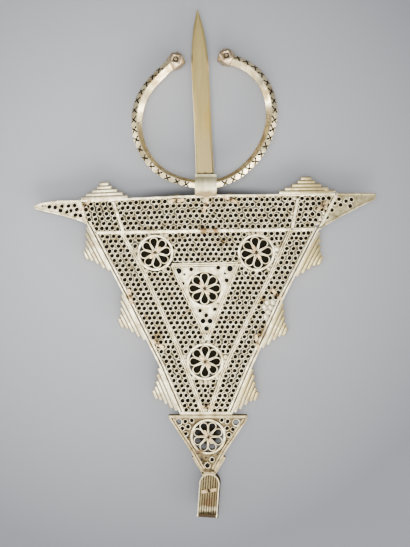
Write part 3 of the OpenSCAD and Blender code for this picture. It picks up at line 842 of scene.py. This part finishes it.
# %% Rows between the strips
BAND_ROWS, SIDE_ROWS = 6, 37
BELOW_TRIANGLE, ABOVE_TRIANGLE = 2 * MM, 2.4 * MM
tube_places = []


def fill_rows(over, under, left, right, rows, left_gap, right_gap, discs=(), middle=None):
    """Rows of tubes between four lines, clear of discs and of a triangle in the middle."""
    for row in range(rows):
        share = (row + 0.5) / rows

        def level(x):
            """The height of this row above a place."""
            return y_on(over, x) * (1 - share) + y_on(under, x) * share

        x = (x_on(left, over[0].y) + x_on(right, over[0].y)) / 2
        for _ in range(3):
            y = level(x)
            x = (x_on(left, y) + x_on(right, y)) / 2
        spans = [(clear_of(left, y, left_gap, 1), clear_of(right, y, right_gap, -1))]
        spans = [s for s in spans if s[1] >= s[0]]
        for place, radius in discs:
            rise = level(place.x) - place.y
            if abs(rise) < radius:
                half = math.sqrt(radius * radius - rise * rise)
                spans = without(spans, place.x - half, place.x + half)
        if middle and middle[2].y - BELOW_TRIANGLE < y < middle[0].y + ABOVE_TRIANGLE:
            low, high = (clear_of([middle[k], middle[2]], y, pair_gap, side) for k, side in ((0, -1), (1, 1)))
            spans = without(spans, low, high)
        for a, b in spans:
            tube_places.extend((x, level(x)) for x in spread(a, b, row))


rim_discs = [(place, ROSETTE_RADIUS + TUBE_RADIUS) for place in ROSETTES]
rail_half = RAIL_WIDTH / 2
rail_gap = rail_half + TUBE_RADIUS
side_width = 2 * EDGE_WIDTH + EDGE_GAP
side_gap = side_width + TUBE_RADIUS
pair_gap = PAIR_WIDTH / 2 + TUBE_RADIUS
band = (beside(TOP_EDGE, TOP_WIDTH), beside(RAIL, -rail_half))
field = (beside(RAIL, rail_half), beside(FOOT, -EDGE_WIDTH))
left_corner = LEFT_ROOT + [RAIL[0]]
right_corner = RIGHT_ROOT + [RAIL[1]]
for ends in ((LEFT_DIVIDER, RIGHT_DIVIDER), (left_corner, LEFT_DIVIDER), (RIGHT_DIVIDER, right_corner)):
    fill_rows(*band, *ends, BAND_ROWS, rail_gap, rail_gap)
fill_rows(*field, LEFT_SIDE, LEFT_STRIP, SIDE_ROWS, side_gap, pair_gap)
fill_rows(*field, RIGHT_STRIP, RIGHT_SIDE, SIDE_ROWS, pair_gap, side_gap)
fill_rows(*field, LEFT_STRIP, RIGHT_STRIP, SIDE_ROWS, pair_gap, pair_gap, rim_discs, TRIANGLE)
print("Tubes in rows:", len(tube_places))

# %% [markdown]
# In the centre triangle, the horns and the apex the tubes don't lie in rows, so their places
# were read from the photograph one by one. A few corners hold a wider ring.

# %% Single tubes and wide rings
TRIANGLE_TUBES = [
    (191.5, 269), (218, 268), (227, 280), (182.5, 283.5), (199.5, 310.5), (214.5, 309.5), (206.5, 315.5),
]
APEX_TUBES = [
    (185, 421.5), (191.5, 420.5), (187.5, 427), (182, 428.5), (186, 433.5), (221.5, 420.5),
    (227.5, 421), (227, 428.5), (233, 429), (229, 435), (212.5, 460),
]
LEFT_HORN_TUBES = [
    (49, 207), (55, 207), (62, 206.5), (68, 206), (74, 205.5), (60, 210), (66.5, 211.5), (71, 211),
    (77, 209.5), (75, 214.5), (80.5, 215.5),
]
RIGHT_HORN_TUBES = [
    (339.5, 199), (346, 200.5), (352, 199.5), (334.5, 203), (340.5, 205), (350, 205.5), (332.5, 209.5),
    (327, 217),
]
WIDE_RINGS = [(178.5, 271), (230, 268.5), (178.5, 422), (236, 422.5)]
MIDDLE_RINGS = [(203, 321), (210, 321), (206.5, 328.5), (207.5, 465.5)]
single_tubes = TRIANGLE_TUBES + APEX_TUBES + LEFT_HORN_TUBES + RIGHT_HORN_TUBES
tube_places += [tuple(in_photo(*p)) for p in single_tubes]
print("Single tubes:", len(single_tubes))

# %% [markdown]
# Every tube is set a little off its place, turned, scaled and squeezed, with the unevenness of
# handwork. In a few spots solder has run over the lattice, and there some tubes are closed: a
# low blob stands in their place. The draws are seeded, so each run gives the same brooch.

# %% Set every tube
FILLED_SPOTS = [  # pixels of the middle, reach in mm, share of the tubes that are closed
    (272, 312, 7, 0.6), (264, 334, 6, 0.4), (206, 199, 4, 0.5),
]
TUBE_SLIP = 0.3 * MM
TUBE_TURNS, TUBE_SIZES, SQUEEZES = (0, 3.1), (0.95, 1.06), (0.93, 1.07)
BLOB_SIZE = 1.05
hand = random.Random(7)
blob = turn_profile(8, [
    (MM, lattice_high - 1.2 * MM), (MM, lattice_high - 0.3 * MM), (0.75 * MM, lattice_high - 0.08 * MM),
    (0.1 * MM, lattice_high),
])


def is_filled(place):
    """Whether solder has closed the tube at a place."""
    return any((place - in_photo(x, y)).length < reach * MM and hand.random() < share
               for x, y, reach, share in FILLED_SPOTS)


tubes, fills = [], []
for x, y in tube_places:
    if is_filled(Vector((x, y))):
        fills.append(copy_of(blob, (x, y), hand.uniform(0, 1), TUBE_RADIUS / MM * BLOB_SIZE))
        continue
    place = [value + hand.uniform(-1, 1) * TUBE_SLIP for value in (x, y)]
    tube = copy_of(small_tube, place, hand.uniform(*TUBE_TURNS), hand.uniform(*TUBE_SIZES))
    squeeze = hand.uniform(*SQUEEZES)
    tube.scale = (tube.scale.x * squeeze, tube.scale.y / squeeze, 1)
    tubes.append(tube)
solder_to_plate("lattice_tubes", tubes, lattice_silver, smooth=50)

wide_tube = tube_pattern(2.4 * MM, 1.85 * MM, below(0.15), waist=0.95)
middle_tube = tube_pattern(2 * MM, 1.5 * MM, below(0.2), waist=0.95)
rings = [
    copy_of(pattern, in_photo(*p))
    for pattern, pixels in ((wide_tube, WIDE_RINGS), (middle_tube, MIDDLE_RINGS)) for p in pixels
]
solder_to_plate("wide_rings", rings, lattice_silver, smooth=50)
discard(small_tube, wide_tube, middle_tube)

# %% [markdown]
# Where the rows leave a wider gap, beside a rim or a strip, the maker let solder fill it. The
# widest gap gets a low blob that just reaches its neighbours, then the next widest, until
# only the small three-cornered gaps between the tubes are left.

# %% Solder in the odd gaps
SEARCH_STEP = 0.5 * MM
SMALLEST_FILL = 0.5 * MM
LARGEST_FILL = 2.2 * MM
FILL_LAP = 0.3 * MM
FAR_AWAY = 1.0
closed_triangle = TRIANGLE + TRIANGLE[:1]
metal_lines = [
    (TOP_EDGE, TOP_WIDTH), (LEFT_SIDE, side_width), (RIGHT_SIDE, side_width), (FOOT, EDGE_WIDTH),
    *((line, rail_half) for line in RAILS),
    *((line, PAIR_WIDTH / 2) for line in (LEFT_STRIP, RIGHT_STRIP, closed_triangle)),
]
metal_discs = [(place, ROSETTE_RADIUS * size) for place, size in zip(ROSETTES, ROSETTE_SIZES)]
metal_discs += [(place, TUBE_RADIUS) for place in tube_places]


def to_place(points, place):
    """The distance of many points to one place."""
    return np.hypot(*(points - np.array(place)).T)


def to_line(points, line):
    """The distance of many points to a line of straight runs."""
    best = np.full(len(points), FAR_AWAY)
    for a, b in zip(line, line[1:]):
        a, run = np.array(a), np.array(b - a)
        share = np.clip((points - a) @ run / (run @ run), 0, 1)
        best = np.minimum(best, np.hypot(*(points - a - share[:, None] * run).T))
    return best


def inside(points, corners):
    """Which points lie in a shape, by how often a line from them crosses its sides."""
    found = np.zeros(len(points), bool)
    for a, b in zip(corners, corners[1:] + corners[:1]):
        crosses = (points[:, 1] > a.y) != (points[:, 1] > b.y)
        rise = (b.y - a.y) or 1e-9
        found ^= crosses & (points[:, 0] < a.x + (points[:, 1] - a.y) * (b.x - a.x) / rise)
    return found


plate_outline = TOP_EDGE + RIGHT_SIDE + LEFT_SIDE[::-1]
lows, highs = (reach([list(p) for p in plate_outline], axis=0) for reach in (np.min, np.max))
steps = [np.arange(low, high, SEARCH_STEP) for low, high in zip(lows, highs)]
grid = np.stack(np.meshgrid(*steps), -1).reshape(-1, 2)
grid = grid[inside(grid, plate_outline) & ~inside(grid, TRIANGLE)]
room = np.full(len(grid), LARGEST_FILL)
for line, half in metal_lines:
    room = np.minimum(room, to_line(grid, line) - half)
for place, radius in metal_discs:
    room = np.minimum(room, to_place(grid, place) - radius)
while room.max() > SMALLEST_FILL:
    best = int(room.argmax())
    size = room[best] + FILL_LAP
    fills.append(copy_of(blob, grid[best], hand.uniform(0, 1), size / MM))
    room = np.minimum(room, to_place(grid, grid[best]) - size)
discard(blob)
print("Gaps filled with solder:", len(fills))
solder_to_plate("solder_fills", fills, strip_silver, smooth=60)

# %% [markdown]
# Solder has run into the corners of the centre triangle, the horns and the apex, so there the
# tubes stand in a sheet of metal. The sheet is cut out and raised, and a boolean drills it
# where the tubes, the rosettes and a few open gaps are.

# %% Sheets with tubes set in them
SMALL_HOLE, MIDDLE_HOLE, WIDE_HOLE = 1.5 * MM, 1.8 * MM, 2.2 * MM
ROSETTE_HOLE = ROSETTE_RADIUS + 0.1 * MM
HOLE_CORNERS = 12
SHEET_GAP = 0.25 * MM
solder_high = below(0.5)
apex_sheet_high = below(1.1)


def drilled(points, high, tubes, gaps=(), rosette=None):
    """A slab less a rosette, tubes as (pixels, radius) and three-cornered gaps as
    (pixel, pixel, radius in mm, turn)."""
    sheet = slab(points, high)
    middle, depth = (plate_low + high) / 2, 4 * (high - plate_low)
    holes = [(rosette, ROSETTE_HOLE, RIM_CORNERS, 0)] if rosette else []
    holes += [(in_photo(*p), radius, HOLE_CORNERS, 0) for pixels, radius in tubes for p in pixels]
    holes += [(in_photo(x, y), radius * MM, 3, turn) for x, y, radius, turn in gaps]
    cut(sheet, join("drill", [
        add_alone(bpy.ops.mesh.primitive_cylinder_add, vertices=corners, radius=radius, depth=depth,
                  location=(*place, middle), rotation=(0, 0, math.radians(turn)))
        for place, radius, corners, turn in holes
    ]))
    return sheet


centroid = sum(TRIANGLE, Vector((0, 0))) / 3
inner_radius = min(to_line(np.array([centroid]), closed_triangle))
shrink = 1 - (PAIR_WIDTH / 2 + SHEET_GAP) / inner_radius
centre_sheet = drilled(
    [centroid + (p - centroid) * shrink for p in TRIANGLE], solder_high,
    [(TRIANGLE_TUBES, SMALL_HOLE), (WIDE_RINGS[:2], WIDE_HOLE), (MIDDLE_RINGS[:3], MIDDLE_HOLE)],
    gaps=[(225, 273.5, 1.3, 20), (184.5, 274.5, 1.3, -30), (207, 334.5, 1.2, 30), (196, 303.5, 0.9, 0),
          (218, 303.5, 0.9, 50)],
    rosette=ROSETTES[2],
)

# %% [markdown]
# A horn stands out from each end of the top edge. Its outline is a list of shares: of its
# length outwards, and of its root's height down. A strip on edge runs round the sheet.

# %% Horns
LEFT_HORN = [
    (0, 0), (0.484, 0.02), (0.857, 0.13), (1, 0.26), (0.967, 0.41), (0.527, 0.61), (0.198, 0.78), (0, 1),
]
RIGHT_HORN = [(0, 0), (0.987, 0), (1, 0.08), (0.987, 0.18), (0.59, 0.375), (0.077, 0.667), (0, 1)]
LEFT_GAPS = [(42.5, 206, 0.9, 0), (45, 206, 0.8, 30), (84, 219.5, 0.9, 30)]
RIGHT_GAPS = [(322.5, 222, 1.1, 20)]
for name, shares, root, side, length, holes, gaps, finish in (
    ("horn_left", LEFT_HORN, LEFT_ROOT, -1, 27.3 * MM, LEFT_HORN_TUBES, LEFT_GAPS, strip_silver),
    ("horn_right", RIGHT_HORN, RIGHT_ROOT, 1, 23.4 * MM, RIGHT_HORN_TUBES, RIGHT_GAPS, horn_silver),
):
    top, foot = root
    reach, drop = side * length, foot.y - top.y
    line = [top + Vector((outward * reach, down * drop)) for outward, down in shares]
    line[-1] = foot
    sheet = drilled(line, solder_high, [(holes, SMALL_HOLE)], gaps)
    solder_to_plate(name, [sheet, strip(beside(line, side * EDGE_WIDTH / 2), EDGE_WIDTH)], finish)

# %% [markdown]
# The apex is a smaller triangle soldered under the plate's foot: a bar across its top, double
# strips down its sides, a rosette, and a solid tip that the tail strap grips. Two short and
# stouter bars lie along its sides near the tip.

# %% Apex
APEX_LEFT = on_apex((-1, 0.05), (-0.95, 0.095), (-0.453, 0.554), (-0.165, 0.86))
APEX_RIGHT = on_apex((1, 0.05), (0.975, 0.095), (0.46, 0.554), (0.185, 0.86))
APEX_BAR = on_apex((-1, 0.035), (1, 0.035))
APEX_TIP = on_apex((-0.175, 0.878), (0.195, 0.878), (0.19, 0.9), (0.165, 1), (-0.115, 1), (-0.165, 0.9))
APEX_SHEET = on_apex((-0.97, 0.05), (0.97, 0.05), (0.46, 0.554), (0.19, 0.88), (-0.17, 0.88), (-0.453, 0.554))
BRACES = [((193.2, 457), (203.8, 474.5)), ((224.8, 457), (214.5, 473.5))]
BRACE_WIDTH = 1.7 * MM
APEX_BAR_WIDTH = 1.9 * MM
OUTER_GAP = 0.35 * MM
OUTER_WIDTH = 0.9 * EDGE_WIDTH
tip_high = below(0.3)
apex_sheet = drilled(
    APEX_SHEET, apex_sheet_high,
    [(APEX_TUBES, SMALL_HOLE), (WIDE_RINGS[2:], WIDE_HOLE), (MIDDLE_RINGS[3:], MIDDLE_HOLE)],
    gaps=[(174, 420, 0.9, 0), (240, 420, 0.9, 60), (188, 437.5, 1, 20), (190.5, 443, 1.1, -25),
          (227, 440.5, 0.9, 10), (198, 453.5, 1.2, 10), (201, 459.5, 1.3, 45), (206, 458, 0.9, 15),
          (217.5, 454.5, 1, 30), (203, 464, 0.8, 0)],
    rosette=ROSETTES[4],
)
# The dark apex sheet is painted shade between the apex's tubes.
solder_to_plate("apex_sheet", [apex_sheet], sheet_painted_shade)
apex_parts = []
for line, side in ((APEX_LEFT, -1), (APEX_RIGHT, 1)):
    apex_parts.append(strip(beside(line, side * EDGE_WIDTH / 2), EDGE_WIDTH))
    outer = beside(line[1:], side * (EDGE_WIDTH * 1.5 + OUTER_GAP))
    apex_parts.append(strip(outer, OUTER_WIDTH, high=below(0.1)))
apex_parts.append(strip(APEX_BAR, APEX_BAR_WIDTH, bevel=ROUNDED))
apex_parts.append(slab(APEX_TIP, tip_high))
for ends in BRACES:
    apex_parts.append(strip([in_photo(*p) for p in ends], BRACE_WIDTH, high=tip_high, bevel=ROUNDED))
solder_to_plate("apex_triangle", apex_parts, apex_silver)
solder_to_plate("centre_sheet", [centre_sheet], strip_silver)

# %% [markdown]
# Eight stepped crests stand on the edges. Each is a pyramid of five bars of silver, one
# shorter than the next, soldered to a thinner sheet that shows in the grooves between them.
# A few lumps of solder hold their ends.

# %% Crests
CREST_STEPS = [1, 0.79, 0.53, 0.31, 0.19]
CREST_LEVEL = 2.05 * MM
CREST_GROOVE = 0.4 * MM
CREST_SLIP = 0.2 * MM
WEB_SHARE = 0.99
crest_high = below(0.05)
web_high = below(0.7)
CRESTS = [  # the edge's line, a run's first corner, and where on the run the crest starts and ends
    (LEFT_SIDE[::-1], 0, 0.09, 0.95), (LEFT_SIDE[::-1], 1, 0.35, 0.95), (LEFT_SIDE[::-1], 2, 0.3, 0.95),
    (TOP_EDGE, 0, 0.02, 0.42), (TOP_EDGE, 1, 0.593, 0.98),
    (RIGHT_SIDE, 0, 0.04, 0.66), (RIGHT_SIDE, 1, 0.04, 0.7), (RIGHT_SIDE, 2, 0.04, 0.94),
]
LUMPS = [  # pixels of the middle, half length and half width in mm, lean
    (331, 191.5, 3.1, 1.2, 4), (327, 190, 1.8, 1, 0), (99, 194.5, 2, 0.9, 12), (205.5, 198, 1.6, 1.2, 60),
    (207.5, 202, 1.3, 1, 20),
]
LUMP_HALF, CREST_WEAR = 0.7 * MM, 0.25 * MM
lump_middle = below(0.75)


def bar(middle, turn, length, width, high):
    """A straight bar lying flat."""
    return add_alone(bpy.ops.mesh.primitive_cube_add, size=1, location=(*middle, (plate_low + high) / 2),
                     rotation=(0, 0, turn), scale=(length, width, high - plate_low))


bars, webs = [], []
for line, corner, first, last in CRESTS:
    start, stop = line[corner:corner + 2]
    run = stop - start
    out = Vector((-run.y, run.x)).normalized()
    turn = math.atan2(run.y, run.x)
    for k, step in enumerate(CREST_STEPS):
        near = k * CREST_LEVEL - (EDGE_WIDTH / 2 if k == 0 else 0)
        far = (k + 1) * CREST_LEVEL
        length = run.length * (last - first) * step
        middle = start + run * (first + last) / 2 + run.normalized() * hand.uniform(-1, 1) * CREST_SLIP
        top = far - CREST_GROOVE
        bars.append(bar(middle + out * (near + top) / 2, turn, length, top - near, crest_high))
        webs.append(bar(middle + out * (near + far) / 2, turn, length * WEB_SHARE, far - near, web_high))
crest_bars = join("crest_bars", bars)
apply_modifier(crest_bars, "BEVEL", width=CREST_WEAR, segments=2, limit_method="ANGLE")
lumps = [
    add_alone(bpy.ops.mesh.primitive_uv_sphere_add, segments=16, ring_count=8, radius=1,
              location=(*in_photo(x, y), lump_middle), rotation=(0, 0, math.radians(lean)),
              scale=(half_long * MM, half_wide * MM, LUMP_HALF))
    for x, y, half_long, half_wide, lean in LUMPS
]
solder_to_plate("plate_crests", [crest_bars] + webs + lumps, crest_silver)

# %% [markdown]
# The ring is a bar that is square on edge. It isn't a true circle: its bend is a list of
# shares of its mean radius, one for each thirty degrees of a clock's face, joined smoothly.
# The bar is thinnest where it lies in the pin's loop.

# %% The ring's line
RING_RADIUS = 40.4 * MM
RING_BEND = [0.95, 1.013, 1.001, 0.957, 0.95, 0.988, 1.006, 1.053, 1.042, 1.009, 0.957, 1.01]
BEND_START, BEND_STEP = 15, 30
RING_TILT = math.radians(3.67)
LOOP_TURN = 180
BAR_THIN, BAR_THICK = 4.8 * MM, 6.8 * MM
THIN_TURN, THIN_SPREAD = 185, 100


def bend(turn):
    """The ring's share of its mean radius at a clock angle, smooth between the table's values."""
    s = (turn - BEND_START) / BEND_STEP
    k = math.floor(s)
    f = s - k
    a, b, c, d = (RING_BEND[min(max(k + i, 0), len(RING_BEND) - 1)] for i in (-1, 0, 1, 2))
    return b + f * ((c - a) / 2 + f * (a - 2.5 * b + 2 * c - d / 2 + f * (1.5 * (b - c) + (d - a) / 2)))


def bar_half(turn):
    """Half the bar's width across its corners."""
    return (BAR_THIN + (BAR_THICK - BAR_THIN) * min(1, abs(turn - THIN_TURN) / THIN_SPREAD)) / 2


ring_place = (
    Matrix.Translation(hinge) @ Matrix.Rotation(-RING_TILT, 4, "X")
    @ Matrix.Translation((0, RING_RADIUS * bend(LOOP_TURN), 0))
)


def ring_frame(turn):
    """The place of the bar at a clock angle: X outwards, Y along the ring, Z up."""
    a = math.radians(turn)
    spot = Vector((math.sin(a), math.cos(a), 0)) * RING_RADIUS * bend(turn)
    return ring_place @ Matrix.Translation(spot) @ Matrix.Rotation(math.pi / 2 - a, 4, "Z")


# %% [markdown]
# The solid already has its bend and its taper, so a copy of it is the blank, and crosses are
# engraved on its outer sides as with a graver: each stroke is a thin cutter across the facet,
# and one boolean cuts them all. The cutter's own material stays in the cuts, so the strokes
# are dark. No stroke is cut where the pin's loop covers the bar.

# %% Ring
MARK_FIRST, MARK_LAST, MARK_STEP = 28, 324, 8
MARK_SLIP = 0.3
LOOP_HIDES = 9
STROKE_WIDTH = 1.05 * MM
STROKE_DEPTH = 0.42 * MM
STROKE_LEAN = math.radians(40)
STROKE_SHARE = 0.98
EVERYWHERE = {"low": 1, "high": 2}  # heights in metres, far above the brooch
ring_silver = silver(
    "ring_silver", (0.85, 0.73, 0.44), (0.46, 0.34, 0.16), scale=150, smooth=0.2, rough=0.42, grain=0.1)
engraved = silver(
    "engraved_dark", (0.03, 0.024, 0.014), (0.012, 0.01, 0.006), dark=(0.02, 0.016, 0.01), **EVERYWHERE)
ring = copy_of(frame["nodes"]["ring"])
for key in list(ring.keys()):
    del ring[key]
ring.parent = None
ring.name = "engraved_ring"
edit_all(ring)
bpy.ops.mesh.remove_doubles(threshold=0.001 * MM)
strokes = []
for turn in range(MARK_FIRST, MARK_LAST, MARK_STEP):
    if abs(turn - LOOP_TURN) <= LOOP_HIDES:
        continue
    half = bar_half(turn)
    length = half * math.sqrt(2) * STROKE_SHARE / math.cos(STROKE_LEAN)
    for up, lean in ((1, 1), (1, -1), (-1, 1), (-1, -1)):
        stroke = add_alone(bpy.ops.mesh.primitive_cube_add, size=1, location=(0, 0, 0))
        spot = ring_frame(turn + hand.uniform(-1, 1) * MARK_SLIP)
        stroke.matrix_world = (
            spot @ Matrix.Translation((half / 2, 0, up * half / 2))
            @ Matrix.Rotation(-up * math.pi / 4, 4, "Y") @ Matrix.Rotation(lean * STROKE_LEAN, 4, "X")
            @ Matrix.Diagonal((STROKE_DEPTH * 2, STROKE_WIDTH, length, 1))
        )
        strokes.append(stroke)
print("Strokes:", len(strokes))
graver = join("graver", strokes)
finish_piece(ring, ring_silver, body="ring", smooth=25)
graver.data.materials.clear()
graver.data.materials.append(engraved)
cut(ring, graver, material_mode="TRANSFER")
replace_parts(ring, "ring")
print("Ring materials:", [m.name for m in ring.data.materials], len(ring.data.polygons), "faces")

# %% [markdown]
# The knobs are cubes whose eight corners are filed off to the middle of each edge, which
# leaves six square faces and eight three-cornered ones. A small bevel wears their edges, and
# a round punch leaves a dot in a circle on the faces that show.

# %% Knobs
CAP_WIDTH = 8.8 * MM
CAP_GAP = 0.05 * MM
CAP_TURNS = (18.3, 332.6)
KNOB_WEAR = 0.6 * MM
PUNCH_RADIUS, PUNCH_LINE, PUNCH_DOT = 1.25 * MM, 0.24 * MM, 0.4 * MM
cap_half = CAP_WIDTH / 2
neck = cap_half + CAP_GAP
neck_turn = math.degrees(math.atan(neck / RING_RADIUS))
knob_silver = silver("knob_silver", (0.72, 0.55, 0.35), (0.34, 0.24, 0.13), scale=400, smooth=0.26, rough=0.5)


def knob(name, turn, side, node):
    """A cube with its corners filed to the middle of its edges, on one end of the bar."""
    piece = add_alone(bpy.ops.mesh.primitive_cube_add, size=CAP_WIDTH, location=(0, 0, 0))
    piece.name = name
    edit_all(piece)
    bpy.ops.mesh.bevel(offset_type="PERCENT", offset_pct=50, affect="VERTICES")
    bpy.ops.mesh.remove_doubles(threshold=SAME_CORNER)
    apply_modifier(piece, "BEVEL", width=KNOB_WEAR, segments=3, limit_method="ANGLE")
    quarter = math.pi / 2
    punches = []
    for place, lean in (((0, 0, cap_half), (0, 0, 0)), ((0, side * cap_half, 0), (quarter, 0, 0)),
                        ((cap_half, 0, 0), (0, quarter, 0))):
        punches += [
            add_alone(bpy.ops.mesh.primitive_torus_add, major_segments=16, minor_segments=6, location=place,
                      rotation=lean, major_radius=PUNCH_RADIUS, minor_radius=PUNCH_LINE),
            add_alone(bpy.ops.mesh.primitive_ico_sphere_add, subdivisions=1, radius=PUNCH_DOT,
                      location=place),
        ]
    punch = join("punch", punches)
    punch.data.materials.append(engraved)
    finish_piece(piece, knob_silver, body="ring", smooth=20)
    cut(piece, punch, material_mode="TRANSFER")
    piece.matrix_world = ring_frame(turn) @ Matrix.Translation((0, side * neck, 0))
    apply_place(piece)
    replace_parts(piece, node)


knob("knob_right", CAP_TURNS[0] + neck_turn, 1, "ring_cap_right")
knob("knob_left", CAP_TURNS[1] - neck_turn, -1, "ring_cap_left")

# %% [markdown]
# The pin, the two straps and the studs keep their solids, whose shapes are right, and get
# their own finishes. The pin is filed lengthwise, so its noise is drawn out along it, and its edges
# get a painted highlight. The straps are brown between their ribs and over their solder, and the
# tail strap has a painted highlight at its bend and along its rims and painted shade on its fold.
# The prongs of the studs are soft, slightly pink wire, and the bosses, painted dark as shade, show
# through the rosettes.

# %% Finishes of the pin and the straps
TAIL_WIDTH = 12 * MM
TAIL_LENGTH = 26.7 * MM
TAIL_LEAN = math.radians(4)
TAIL_START = Vector((1.2 * MM, 3.9 * MM - APEX_LENGTH))
PIN_EDGE_HIGHLIGHT = {"Length": 130 * MM, "Low": 4.95 * MM, "High": 5.2 * MM}  # how far from the axis the painted edge highlight lies


def coat(node, *tones, **settings):
    """Gives a solid from the frame its finish."""
    finish = silver(*tones, **settings)
    for place in frame["nodes"][node].material_slots:
        place.material = finish
    print(node, "has", finish.name)


pin_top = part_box("pin")[1].z
pin_root = Vector((*in_photo(206.2, 190), 0))
pin_axis = (Vector((*in_photo(199.8, 60), 0)) - pin_root).normalized()
coat("pin", "pin_silver", (0.46, 0.36, 0.145), (0.35, 0.26, 0.09), scale=260, stretch=(1, 0.06, 1),
     smooth=0.28, rough=0.44, metallic=0.6,
     stains=[patch((0.41, 0.29, 0.085), 208, 122, 9, (1.4, 0.35, 1), pin_top),
             patch((0.37, 0.28, 0.12), 207, 156, 12, (1, 0.4, 1), pin_top),
             patch((0.05, 0.035, 0.015), 205, 173.4, 1.8, (0.05, 1, 0.2), pin_top)],
     # painted highlight along the pin's edges
     rim=dict(Middle=pin_root, Axis=pin_axis, **PIN_EDGE_HIGHLIGHT))
coat("pin_loop", "loop_silver", (0.74, 0.68, 0.43), (0.52, 0.46, 0.26), scale=260, stretch=(1, 0.1, 1),
     smooth=0.48, rough=0.6, metallic=0.5,
     stains=[((0.36, 0.26, 0.13), (0.5 * MM, 41.3 * MM, 9.5 * MM), 4 * MM, (0.2, 1, 1))])
tail_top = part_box("tail_loop")[1].z
tail_half = TAIL_WIDTH / 2
tail_axis = Vector((-math.sin(TAIL_LEAN), -math.cos(TAIL_LEAN), 0))
tail_middle = Vector((*(PLATE_FOOT + TAIL_START), 0)) + tail_axis * tail_half
coat("tail_loop", "tail_silver", (0.3, 0.24, 0.115), (0.17, 0.12, 0.055), scale=200, stretch=(1, 0.2, 1),
     smooth=0.24, rough=0.42,
     dark=(0.04, 0.024, 0.011), low=tail_top - 0.32 * MM, high=tail_top - 0.1 * MM, upward=1,
     stains=[patch((0.2, 0.12, 0.055), 207.5, 502, 6, top=tail_top),
             # painted highlight at the strap's bend
             patch((0.62, 0.52, 0.3), 206, 508.8, 3.4, (0.1, 1, 1), tail_top),
             # painted shade on the strap's fold
             patch((0.04, 0.032, 0.016), 206, 515.5, 5.5, (0.1, 1, 0.1), tail_top)],
     # painted highlight along the strap's rims
     rim=dict(Middle=tail_middle, Axis=tail_axis, Length=TAIL_LENGTH, Low=tail_half - 0.65 * MM,
              High=tail_half - 0.45 * MM, Level=tail_top - 1.2 * MM))

# %% [markdown]
# A stud's prongs are bent flat on the back. Each stands in a painted dark spot of shadow, its parts
# under the plate's back are painted dark as shade, and the boss under a rosette is painted black
# all over as the plate's own shade.

# %% Finishes of the studs
# Painted shade: black on the bosses under the rosettes, brown on the other studs below the plate's back, and
# a painted dark spot of shadow round each stud's prongs.
BOSS_PAINTED_SHADE, STUD_PAINTED_SHADE, PRONG_PAINTED_SHADOW = (0.02, 0.017, 0.01), (0.16, 0.13, 0.08), (0.03, 0.02, 0.012)
for node in [n for n in frame["nodes"] if n.startswith("stud")]:
    low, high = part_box(node)
    middle = (low + high) / 2
    under_rosette = any((middle.xy - place).length < ROSETTE_RADIUS / 2 for place in ROSETTES)
    coat(node, f"{node}_silver", (0.66, 0.47, 0.24), (0.38, 0.25, 0.11), scale=400, smooth=0.25, rough=0.45,
         dark=BOSS_PAINTED_SHADE if under_rosette else STUD_PAINTED_SHADE, low=below(0.6), high=below(0.3),
         upward=int(under_rosette), stains=[(PRONG_PAINTED_SHADOW, (middle.x, middle.y, high.z), 2.8 * MM, (1, 1, 1))])
